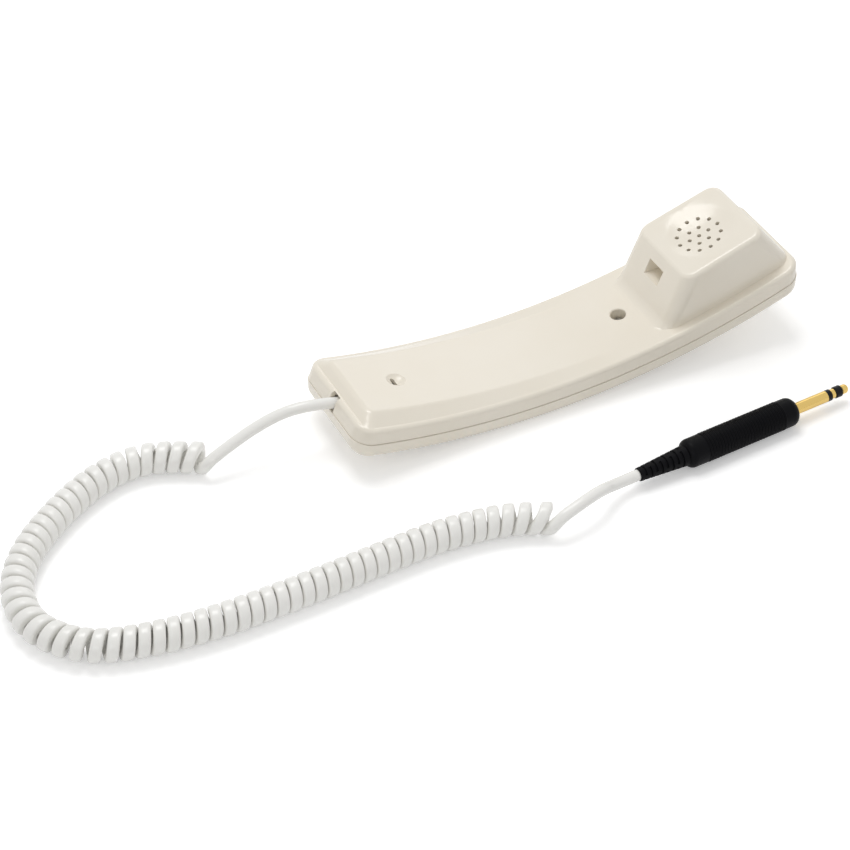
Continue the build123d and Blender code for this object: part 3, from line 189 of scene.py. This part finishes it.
def smooth_copy(node, name, material, angle):
    """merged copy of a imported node, with its curved faces shaded smooth and its edges kept"""
    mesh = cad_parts[node].data.copy()
    mesh.name = name
    carried_over = mesh.attributes.get("custom_normal")
    if carried_over is not None:
        mesh.attributes.remove(carried_over)
    piece = bpy.data.objects.new(name, mesh)
    bpy.context.scene.collection.objects.link(piece)
    shell = bmesh.new()
    shell.from_mesh(mesh)
    bmesh.ops.remove_doubles(shell, verts=shell.verts, dist=MERGE_DISTANCE)
    shell.to_mesh(mesh)
    shell.free()
    mesh.shade_smooth()
    mesh.set_sharp_from_angle(angle=angle)
    mesh.materials.clear()
    mesh.materials.append(material)
    weigh = piece.modifiers.new("even_faces", "WEIGHTED_NORMAL")
    weigh.mode = "FACE_AREA"
    weigh.weight = LARGE_FACES_FIRST
    weigh.keep_sharp = True
    return plain_mesh(piece, name)


def dress(piece, nodes):
    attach(piece, BODY)
    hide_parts(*nodes)


def finish_node(node, material):
    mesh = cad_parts[node].data
    mesh.materials.clear()
    mesh.materials.append(material)


def plain_mesh(piece, name):
    """the evaluated object as a plain mesh object without modifiers"""
    graph = bpy.context.evaluated_depsgraph_get()
    mesh = bpy.data.meshes.new_from_object(piece.evaluated_get(graph))
    bpy.data.objects.remove(piece)
    result = bpy.data.objects.new(name, mesh)
    bpy.context.scene.collection.objects.link(result)
    return result


def route_points(points, steps):
    """points along the smooth spline of a route, in metres"""
    curve = bpy.data.curves.new("route", "CURVE")
    curve.dimensions = "3D"
    curve.resolution_u = steps
    spline = curve.splines.new("NURBS")
    spline.points.add(len(points) - 1)
    for knot, point in zip(spline.points, points):
        knot.co = (point[0] * MM, point[1] * MM, (point[2] if len(point) > 2 else 0.0) * MM, 1.0)
    spline.order_u = 3
    spline.use_endpoint_u = True
    holder = bpy.data.objects.new("route", curve)
    bpy.context.scene.collection.objects.link(holder)
    graph = bpy.context.evaluated_depsgraph_get()
    mesh = bpy.data.meshes.new_from_object(holder.evaluated_get(graph))
    found = [vertex.co.copy() for vertex in mesh.vertices]
    bpy.data.objects.remove(holder)
    bpy.data.curves.remove(curve)
    bpy.data.meshes.remove(mesh)
    return found


# The cord


class CoilLine:
    """the line that the curls wind about, by its run and by its wound length"""

    def __init__(self, points, radius):
        self.points = points
        self.headings = []
        for i in range(len(points)):
            ahead = points[min(i + 1, len(points) - 1)]
            back = points[max(i - 1, 0)]
            angle = math.atan2((ahead - back).y, (ahead - back).x)
            if self.headings:
                turn = (angle - self.headings[-1] + math.pi) % (2 * math.pi) - math.pi
                angle = self.headings[-1] + turn
            self.headings.append(angle)
        self.runs = [0.0]
        self.wound = [0.0]
        for i in range(1, len(points)):
            step = (points[i] - points[i - 1]).length
            bend = abs(self.headings[i] - self.headings[i - 1])
            self.runs.append(self.runs[-1] + step)
            self.wound.append(self.wound[-1] + step - radius * bend)

    def find(self, table, value):
        low = 0
        high = len(table) - 1
        while high - low > 1:
            middle = (low + high) // 2
            if table[middle] < value:
                low = middle
            else:
                high = middle
        return low, (value - table[low]) / (table[high] - table[low])

    def run_at(self, wound):
        low, share = self.find(self.wound, wound)
        return self.runs[low] + share * (self.runs[low + 1] - self.runs[low])

    def place(self, run):
        inside = min(max(run, 0.0), self.runs[-1])
        low, share = self.find(self.runs, inside)
        point = self.points[low].lerp(self.points[low + 1], share)
        heading = self.headings[low] + share * (self.headings[low + 1] - self.headings[low])
        along = Vector((math.cos(heading), math.sin(heading), 0.0))
        return point + along * (run - inside), along


def curl(line, turns, radius, height, t):
    """middle of the wire after t turns, and the way out from the curls' own middle line"""
    pitch = line.wound[-1] / turns
    phi = -math.pi / 2 - 2 * math.pi * t
    up = (1 + math.sin(phi)) / 2
    if t < 0:
        run = t * pitch - TAIL_END["open"] * MM * (2 * math.pi * t) ** 2
    else:
        run = line.run_at(t * pitch) if t < turns else line.runs[-1] + (t - turns) * pitch
        run -= TAIL_END["lean"] * MM * math.exp(-t / TAIL_END["fade"]) * up
    if t > turns:
        run += LEAD_END["open"] * MM * (2 * math.pi * (t - turns)) ** 2
    else:
        run += LEAD_END["lean"] * MM * math.exp(-(turns - t) / LEAD_END["fade"]) * up
    run += END_EASE * MM * (math.exp(-max(turns - t, 0.0)) - math.exp(-max(t, 0.0)))
    middle, along = line.place(run)
    aside = Vector((-along.y, along.x, 0.0))
    out = aside * math.cos(phi) + Vector((0.0, 0.0, math.sin(phi)))
    return middle + Vector((0.0, 0.0, height)) + out * radius, out


def oval(angle, across, through, power):
    """one point of a rounded oval, flatter than an ellipse"""
    c = math.cos(angle)
    s = math.sin(angle)
    a = math.copysign(abs(c) ** (2 / power), c) * across
    b = math.copysign(abs(s) ** (2 / power), s) * through
    return a, b


def tube_mesh(name, path, outward, shapes, sides):
    """closed tube along path; shapes gives half width, half thickness and squareness at each point"""
    vertices = []
    faces = []
    count = len(path)
    for i in range(count):
        ahead = path[min(i + 1, count - 1)]
        back = path[max(i - 1, 0)]
        along = (ahead - back).normalized()
        up = (outward[i] - along * outward[i].dot(along)).normalized()
        side = along.cross(up)
        across, through, power = shapes[i]
        for k in range(sides):
            a, b = oval(2 * math.pi * (k + 0.5) / sides, across, through, power)
            vertices.append(path[i] + side * a + up * b)
    for i in range(count - 1):
        for k in range(sides):
            a = i * sides + k
            b = i * sides + (k + 1) % sides
            faces.append((a, b, b + sides, a + sides))
    vertices.append(path[0])
    vertices.append(path[-1])
    last = (count - 1) * sides
    for k in range(sides):
        following = (k + 1) % sides
        faces.append((following, k, count * sides))
        faces.append((last + k, last + following, count * sides + 1))
    mesh = bpy.data.meshes.new(name)
    mesh.from_pydata(vertices, [], faces)
    mesh.update()
    piece = bpy.data.objects.new(name, mesh)
    bpy.context.scene.collection.objects.link(piece)
    return piece


def even_points(points, step):
    """the same line at even steps"""
    total = sum((b - a).length for a, b in zip(points, points[1:]))
    count = max(2, round(total / step))
    result = [points[0]]
    walked = 0.0
    target = total / count
    for a, b in zip(points, points[1:]):
        length = (b - a).length
        while target <= walked + length + 1e-9 and len(result) < count:
            result.append(a.lerp(b, (target - walked) / length))
            target += total / count
        walked += length
    result.append(points[-1])
    return result


def carried(path, start):
    """a direction carried along a path without twist"""
    result = []
    up = start
    for i in range(len(path)):
        ahead = path[min(i + 1, len(path) - 1)]
        back = path[max(i - 1, 0)]
        along = (ahead - back).normalized()
        up = (up - along * up.dot(along)).normalized()
        result.append(up)
    return result


class HandsetCordSettings(bpy.types.PropertyGroup):
    diameter: bpy.props.FloatProperty(
        name="Diameter", description="Width of the cord's sheath", default=5.0 * MM, unit="LENGTH")
    thickness: bpy.props.FloatProperty(
        name="Thickness in the curls", description="Sheath measured out from the curls' middle line",
        default=4.3 * MM, unit="LENGTH")
    flatness: bpy.props.FloatProperty(
        name="Flatness", description="How square the sheath is in the curls, 0 for an ellipse", default=1.7,
        min=0.0)
    coil_radius: bpy.props.FloatProperty(
        name="Curl radius", description="From the curls' middle line to the middle of the sheath",
        default=4.75 * MM, unit="LENGTH")
    coil_height: bpy.props.FloatProperty(
        name="Curl height", description="Height of the curls' middle line over the table",
        default=7.15 * MM, unit="LENGTH")
    turns: bpy.props.IntProperty(name="Turns", description="Number of curls", default=61, min=3)
    colour: bpy.props.StringProperty(name="Colour", description="Sheath colour, sRGB hex", default="#F7F6F2")


class HandsetCasingSettings(bpy.types.PropertyGroup):
    colour: bpy.props.StringProperty(name="Colour", description="Casing colour, sRGB hex", default="#F0E9DB")
    flow: bpy.props.StringProperty(
        name="Flow tone", description="Slow tone drift in the moulding, sRGB hex", default="#EDE5D5")
    roughness: bpy.props.FloatProperty(
        name="Roughness", description="Roughness of the moulded face", default=0.2, min=0.0, max=1.0,
        subtype="FACTOR")
    edge_angle: bpy.props.FloatProperty(
        name="Edge angle", description="Faces meeting above this angle keep a crisp edge",
        default=math.radians(28), subtype="ANGLE")


class HandsetPlugSettings(bpy.types.PropertyGroup):
    body: bpy.props.StringProperty(name="Body", description="Barrel and relief, sRGB hex", default="#060608")
    metal: bpy.props.StringProperty(name="Metal", description="Contacts, sRGB hex", default="#D8B970")
    ring_count: bpy.props.IntProperty(
        name="Rings", description="Grip rings on the barrel", default=27, min=1)
    ring_pitch: bpy.props.FloatProperty(
        name="Ring pitch", description="From one grip ring to the next", default=1.5 * MM, unit="LENGTH")
    ring_first: bpy.props.FloatProperty(
        name="First ring", description="From the relief's cord end to the first ring",
        default=33.95 * MM, unit="LENGTH")
    ring_radius: bpy.props.FloatProperty(
        name="Ring radius", description="Radius of the barrel under the rings", default=6.36 * MM,
        unit="LENGTH")
    ring_swell: bpy.props.FloatProperty(
        name="Ring swell", description="Half thickness of one ring", default=0.22 * MM, unit="LENGTH")


class HandsetStageSettings(bpy.types.PropertyGroup):
    azimuth: bpy.props.FloatProperty(
        name="Azimuth", description="Camera angle about the upright", default=math.radians(-27.146),
        subtype="ANGLE")
    elevation: bpy.props.FloatProperty(
        name="Elevation", description="Camera angle above the table", default=math.radians(41.282),
        subtype="ANGLE")
    lens: bpy.props.FloatProperty(name="Lens", description="Focal length on a 36 mm sensor", default=101.75)
    floor: bpy.props.StringProperty(name="Floor", description="Floor colour, sRGB hex", default="#FFFFFF")
    bounce: bpy.props.StringProperty(
        name="Bounce", description="Floor colour in the light it throws back, sRGB hex", default="#F5F5F5")
    lift: bpy.props.FloatProperty(
        name="Lift", description="White that is added to the floor where it is seen", default=0.26, min=0.0)
    key_power: bpy.props.FloatProperty(
        name="Key light", description="Power of the soft light over the object", default=4.6, unit="POWER")
    rim_power: bpy.props.FloatProperty(
        name="Back light", description="Power of the soft light behind the object", default=0.4,
        unit="POWER")
    side_power: bpy.props.FloatProperty(
        name="Side light", description="Power of the low light on the cord's side", default=0.9,
        unit="POWER")
    room: bpy.props.FloatProperty(
        name="Room light", description="Strength of the even light all round", default=0.54, min=0.0)


class HandsetStage(bpy.types.Operator):
    """Camera, lamps, room light and floor"""
    bl_idname = "handset.stage"
    bl_label = "Studio"

    def execute(self, context):
        settings = context.scene.handset_stage
        a = settings.azimuth
        e = settings.elevation
        right = Vector((math.cos(a), math.sin(a), 0.0))
        back = Vector((math.sin(a) * math.cos(e), -math.cos(a) * math.cos(e), math.sin(e)))
        up = back.cross(right)
        camera_data = bpy.data.cameras.new("photo_camera")
        camera_data.lens = settings.lens
        camera_data.sensor_width = SENSOR_WIDTH
        camera_data.sensor_fit = "HORIZONTAL"
        camera_data.clip_start = CLIP_START
        camera = bpy.data.objects.new("photo_camera", camera_data)
        rows = [(right[i], up[i], back[i]) for i in range(3)]
        turn = Matrix(rows).to_4x4()
        camera.matrix_world = Matrix.Translation(CAMERA_PLACE) @ turn
        scene = context.scene
        scene.collection.objects.link(camera)
        scene.camera = camera
        scene.view_settings.view_transform = "Standard"
        # Name, place and side of the square in metres, and power.
        lamps = (
            ("key_light", (-0.04, 0.32, 1.10), 0.55, settings.key_power),
            ("back_light", (0.55, 0.80, 0.60), 0.4, settings.rim_power),
            ("side_light", (-0.75, -0.75, 0.55), 0.4, settings.side_power),
        )
        for name, where, size, power in lamps:
            data = bpy.data.lights.new(name, "AREA")
            data.shape = "SQUARE"
            data.size = size
            data.energy = power
            lamp = bpy.data.objects.new(name, data)
            lamp.location = where
            aim = LAMP_AIM - Vector(where)
            lamp.rotation_euler = aim.to_track_quat("-Z", "Y").to_euler()
            scene.collection.objects.link(lamp)
        self.room(scene, settings)
        self.floor(scene, settings)
        return {"FINISHED"}

    def room(self, scene, settings):
        world = bpy.data.worlds.new("room")
        scene.world = world
        world.use_nodes = True
        tree = world.node_tree
        tree.nodes.clear()
        shown = seen_or_mirrored(tree)
        lit = add_node(tree, "ShaderNodeBackground", {"Color": linear("#FFFFFF"), "Strength": settings.room})
        white = add_node(tree, "ShaderNodeBackground", {"Color": linear("#FFFFFF"), "Strength": 1.0})
        mix = add_node(tree, "ShaderNodeMixShader", {}, {0: shown, 1: lit.outputs[0], 2: white.outputs[0]})
        add_node(tree, "ShaderNodeOutputWorld", links={"Surface": mix.outputs[0]})

    def floor(self, scene, settings):
        # Matt paper: white where it is seen or mirrored, a little greyer as a bounce, to light less.
        material, tree = new_material("white_paper_sweep")
        shown = seen_or_mirrored(tree)
        tone = add_node(tree, "ShaderNodeMix",
                        {MIX_A: linear(settings.bounce), MIX_B: linear(settings.floor)},
                        {MIX_FACTOR: shown}, data_type="RGBA")
        shader = add_node(tree, "ShaderNodeBsdfPrincipled", {"Roughness": 0.9, "Specular IOR Level": 0.0},
                          {"Base Color": tone.outputs[MIX_COLOUR]})
        lift = add_node(tree, "ShaderNodeMath", {1: settings.lift}, {0: shown}, operation="MULTIPLY")
        glow = add_node(tree, "ShaderNodeEmission", {"Color": linear("#FFFFFF")},
                        {"Strength": lift.outputs[0]})
        both = add_node(tree, "ShaderNodeAddShader", {}, {0: shader.outputs["BSDF"], 1: glow.outputs[0]})
        add_node(tree, "ShaderNodeOutputMaterial", links={"Surface": both.outputs[0]})
        mesh = bpy.data.meshes.new("floor")
        corners = [(x * FLOOR_REACH, y * FLOOR_REACH, -FLOOR_DROP)
                   for x, y in ((-1, -1), (1, -1), (1, 1), (-1, 1))]
        mesh.from_pydata(corners, [], [(0, 1, 2, 3)])
        mesh.materials.append(material)
        floor = bpy.data.objects.new("floor", mesh)
        scene.collection.objects.link(floor)


class HandsetCord(bpy.types.Operator):
    """The cord from the casing through its curls to the plug"""
    bl_idname = "handset.cord"
    bl_label = "Curly cord"

    def execute(self, context):
        settings = context.scene.handset_cord
        line = CoilLine(route_points(COIL_AXIS, AXIS_STEPS), settings.coil_radius)
        turns = settings.turns
        first = -TAIL_END["out"]
        last = turns + LEAD_END["out"]
        count = round((last - first) * CURL_STEPS)
        wound = [curl(line, turns, settings.coil_radius, settings.coil_height,
                      first + (last - first) * i / count)
                 for i in range(count + 1)]
        tail = even_points(route_points(TAIL_ROUTE, ROUTE_STEPS), RUN_STEP)
        lead = even_points(route_points(LEAD_ROUTE, ROUTE_STEPS), RUN_STEP)
        tail_up = list(reversed(carried(list(reversed(tail)), wound[0][1])))
        lead_up = carried(lead, wound[-1][1])
        between_tail = self.bridge(tail[-1], wound[0][0])
        between_lead = self.bridge(wound[-1][0], lead[0])
        path = tail + between_tail + [w[0] for w in wound] + between_lead + lead
        outward = (tail_up + [wound[0][1]] * len(between_tail) + [w[1] for w in wound]
                   + [wound[-1][1]] * len(between_lead) + lead_up)
        start = len(tail) + len(between_tail)
        stop = start + len(wound) - 1
        shapes = [self.section(settings, i, start, stop) for i in range(len(path))]
        piece = tube_mesh("curly_cord", path, outward, shapes, SHEATH_SIDES)
        piece.data.shade_smooth()
        # Extruded flexible PVC: satin, slightly cooler than the casing, with the faint drag of the die.
        piece.data.materials.append(moulded_plastic(
            "extruded_soft_pvc", settings.colour, "#F2F1EC", share=0.5, roughness=0.24, ior=1.53, grain=0.5,
            depth=0.006))
        dress(piece, ("cord_tail", "cord_coil", "cord_lead"))
        return {"FINISHED"}

    def bridge(self, a, b):
        """points between the end of a free run and the end of the curls"""
        return [a.lerp(b, i / (BRIDGE_POINTS + 1)) for i in range(1, BRIDGE_POINTS + 1)]

    def section(self, settings, i, start, stop):
        """round where the cord is free, flattened on the outside where it is curled"""
        half = settings.diameter / 2
        away = max(start - i, i - stop)
        share = (CURL_STEPS * FLATTEN_BEFORE - away) / (CURL_STEPS * FLATTEN_OVER)
        share = 1.0 if away < -CURL_STEPS else max(0.0, min(1.0, share))
        share = share * share * (3 - 2 * share)
        thin = half + share * (settings.thickness / 2 - half)
        return half, thin, ROUND_POWER + settings.flatness * share


class HandsetCasing(bpy.types.Operator):
    """Front shell and rear cover, moulded in glossy ivory"""
    bl_idname = "handset.casing"
    bl_label = "Casing"

    def execute(self, context):
        settings = context.scene.handset_casing
        # ABS, injection moulded in a polished tool: glossy, with a faint orange peel and no grain.
        ivory = moulded_plastic("moulded_ivory_abs", settings.colour, settings.flow, share=0.6,
                                roughness=settings.roughness, ior=1.54, grain=1.2, depth=0.004)
        for node, name in (("front_shell", "front_casing"), ("rear_cover", "rear_casing")):
            piece = smooth_copy(node, name, ivory, settings.edge_angle)
            dress(piece, (node,))
        return {"FINISHED"}


class HandsetScrew(bpy.types.Operator):
    """Cross-head screw at the bottom of its recess"""
    bl_idname = "handset.screw"
    bl_label = "Case screw"

    def execute(self, context):
        # Cold-headed steel, zinc plated: pale grey with a fine grain.
        zinc = turned_metal("zinc_plated_steel", "#B9B9B6", roughness=0.32, groove=0.3, depth=0.004)
        piece = smooth_copy("case_screw", "cross_head_screw", zinc, math.radians(30))
        dress(piece, ("case_screw",))
        return {"FINISHED"}


class HandsetPlug(bpy.types.Operator):
    """Black barrel with its grip rings, ribbed relief and gold pin"""
    bl_idname = "handset.plug"
    bl_label = "Plug"

    def execute(self, context):
        settings = context.scene.handset_plug
        # Nylon, moulded with a spark-eroded satin face: deep black, broad soft highlight.
        nylon = moulded_plastic("moulded_black_nylon", settings.body, "#0B0B0F", share=0.5, roughness=0.42,
                                ior=1.53, grain=0.25, depth=0.012, specular=0.07)
        # PVC strain relief, moulded: nearly the same black, a little duller.
        relief = moulded_plastic("moulded_black_pvc", "#09090C", "#0C0C0F", share=0.5, roughness=0.5,
                                 ior=1.52, grain=0.4, depth=0.015, specular=0.07)
        # Brass, turned and gold flashed: yellow mirror with faint rings across the pin.
        gold = turned_metal("turned_gilt_brass", settings.metal, roughness=0.2, groove=0.35, depth=0.004,
                            along=PLUG_HEADING)
        # Acetal insulators between the contacts: smooth black.
        acetal = moulded_plastic("turned_black_acetal", "#0A0A0C", "#0D0D10", share=0.4, roughness=0.3,
                                 ior=1.48, grain=0.3, depth=0.004, specular=0.2)
        for node, material in (
                ("plug_relief", relief), ("plug_barrel", nylon), ("plug_core", acetal),
                ("plug_sleeve", gold), ("plug_rear_insulator", acetal), ("plug_ring", gold),
                ("plug_front_insulator", acetal), ("plug_tip", gold)):
            finish_node(node, material)
        self.rings(context, settings, nylon)
        return {"FINISHED"}

    def rings(self, context, settings, material):
        """grip rings standing on the barrel, from a node tree"""
        tree = bpy.data.node_groups.new("grip_rings", "GeometryNodeTree")
        face = tree.interface
        face.new_socket("Geometry", in_out="OUTPUT", socket_type="NodeSocketGeometry")
        sockets = []
        for name, kind, value in (("Rings", "NodeSocketInt", settings.ring_count),
                                  ("Pitch", "NodeSocketFloat", settings.ring_pitch),
                                  ("Radius", "NodeSocketFloat", settings.ring_radius),
                                  ("Swell", "NodeSocketFloat", settings.ring_swell)):
            socket = face.new_socket(name, in_out="INPUT", socket_type=kind)
            sockets.append((socket.identifier, value))
        given = add_node(tree, "NodeGroupInput")
        offset = add_node(tree, "ShaderNodeCombineXYZ", links={"Z": given.outputs["Pitch"]})
        row = add_node(tree, "GeometryNodeMeshLine", links={"Count": given.outputs["Rings"],
                       "Offset": offset.outputs["Vector"]})
        circle = add_node(tree, "GeometryNodeCurvePrimitiveCircle", {"Resolution": 48},
                          {"Radius": given.outputs["Radius"]})
        profile = add_node(tree, "GeometryNodeCurvePrimitiveCircle", {"Resolution": 8},
                           {"Radius": given.outputs["Swell"]})
        ring = add_node(tree, "GeometryNodeCurveToMesh", links={"Curve": circle.outputs["Curve"],
                        "Profile Curve": profile.outputs["Curve"]})
        smooth = add_node(tree, "GeometryNodeSetShadeSmooth", links={"Geometry": ring.outputs["Mesh"]})
        placed = add_node(tree, "GeometryNodeInstanceOnPoints", links={"Points": row.outputs["Mesh"],
                          "Instance": smooth.outputs["Geometry"]})
        real = add_node(tree, "GeometryNodeRealizeInstances",
                        links={"Geometry": placed.outputs["Instances"]})
        painted = add_node(tree, "GeometryNodeSetMaterial", {"Material": material},
                           {"Geometry": real.outputs["Geometry"]})
        add_node(tree, "NodeGroupOutput", links={"Geometry": painted.outputs["Geometry"]})
        holder = bpy.data.objects.new("ring_holder", bpy.data.meshes.new("ring_holder"))
        context.scene.collection.objects.link(holder)
        modifier = holder.modifiers.new("grip_rings", "NODES")
        modifier.node_group = tree
        for identifier, value in sockets:
            modifier[identifier] = value
        piece = plain_mesh(holder, "grip_rings")
        along = Vector((math.cos(PLUG_HEADING), math.sin(PLUG_HEADING), 0.0))
        turn = along.to_track_quat("Z", "Y").to_matrix().to_4x4()
        start = PLUG_START + along * settings.ring_first
        piece.data.transform(Matrix.Translation(start) @ turn)
        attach(piece, BODY)


class HandsetInside(bpy.types.Operator):
    """Finishes of the pieces that the casing hides"""
    bl_idname = "handset.inside"
    bl_label = "Inner pieces"

    def execute(self, context):
        # Each finish is named for its stock: moulded rubber, drawn aluminium, laminate, wound copper and so
        # on. Plastics give colour, flow tone and its share, roughness, IOR, grain and depth in millimetres;
        # metals give colour, roughness, groove and depth.
        rubber = moulded_plastic("moulded_black_rubber", "#1A1A1B", "#202021", 0.4, 0.7, 1.52, 0.5, 0.02)
        dark = moulded_plastic("moulded_dark_abs", "#2B2B2D", "#313133", 0.4, 0.45, 1.54, 0.4, 0.01)
        film = moulded_plastic("formed_polyester_film", "#D8D2C4", "#CFC8B8", 0.4, 0.25, 1.6, 2.0, 0.01)
        cream = moulded_plastic("moulded_cream_nylon", "#D9D6CC", "#CFCBC0", 0.4, 0.4, 1.53, 0.4, 0.01)
        laminate = moulded_plastic("coated_glass_laminate", "#1E5A33", "#245F3A", 0.6, 0.3, 1.5, 0.8, 0.01)
        epoxy = moulded_plastic("moulded_epoxy", "#111113", "#17171A", 0.4, 0.5, 1.55, 0.3, 0.01)
        sheath = moulded_plastic("extruded_red_pvc", "#A4231D", "#96201B", 0.4, 0.4, 1.53, 0.5, 0.01)
        sleeve = moulded_plastic("moulded_white_pvc", "#E9E8E4", "#E2E0DA", 0.4, 0.42, 1.53, 0.5, 0.012)
        zinc = turned_metal("plated_screw_steel", "#B9B9B6", 0.32, 0.3, 0.004)
        steel = turned_metal("drawn_bar_steel", "#8E8E90", 0.38, 0.6, 0.01)
        brass = turned_metal("turned_brass", "#C9A353", 0.28, 0.4, 0.006)
        copper = turned_metal("wound_copper", "#C27A4B", 0.34, 0.15, 0.02)
        alloy = turned_metal("drawn_aluminium", "#C9CACC", 0.33, 0.5, 0.006)
        finishes = {
            "case_insert": brass, "receiver_gasket": rubber, "receiver_case": dark,
            "receiver_diaphragm": film, "receiver_coil": copper, "receiver_pole": steel,
            "receiver_magnet": steel, "receiver_yoke": steel,
            "receiver_terminals": brass, "receiver_retainer": dark, "retainer_screws": zinc,
            "mic_boot": rubber, "mic_capsule": alloy, "circuit_board": laminate, "board_screws": zinc,
            "terminal_block": cream, "terminal_screws": zinc, "board_capacitor": epoxy, "board_chips": epoxy,
            "balance_weight": steel, "weight_screws": zinc, "cord_collar": sleeve, "cord_clamp": dark,
            "clamp_screws": zinc, "cord_conductors": sheath, "mic_wires": sheath, "receiver_wires": sheath,
        }
        for node, material in finishes.items():
            finish_node(node, material)
        return {"FINISHED"}


class HANDSET_PT_panel(bpy.types.Panel):
    """Lists the steps that build the handset"""
    bl_idname = "HANDSET_PT_panel"
    bl_label = "Telephone handset"
    bl_space_type = "VIEW_3D"
    bl_region_type = "UI"
    bl_category = "Handset"

    def draw(self, context):
        for step in STEPS:
            self.layout.operator(step.bl_idname)


SETTINGS = (
    ("handset_stage", HandsetStageSettings),
    ("handset_cord", HandsetCordSettings),
    ("handset_casing", HandsetCasingSettings),
    ("handset_plug", HandsetPlugSettings),
)
STEPS = (HandsetStage, HandsetCord, HandsetCasing, HandsetScrew, HandsetPlug, HandsetInside)


def register():
    for name, group in SETTINGS:
        bpy.utils.register_class(group)
        setattr(bpy.types.Scene, name, bpy.props.PointerProperty(type=group))
    for step in STEPS:
        bpy.utils.register_class(step)
    bpy.utils.register_class(HANDSET_PT_panel)


def unregister():
    bpy.utils.unregister_class(HANDSET_PT_panel)
    for step in reversed(STEPS):
        bpy.utils.unregister_class(step)
    for name, group in reversed(SETTINGS):
        delattr(bpy.types.Scene, name)
        bpy.utils.unregister_class(group)


def main():
    register()
    bpy.ops.handset.stage()
    bpy.ops.handset.cord()
    bpy.ops.handset.casing()
    bpy.ops.handset.screw()
    bpy.ops.handset.plug()
    bpy.ops.handset.inside()


if __name__ == "__main__":
    main()
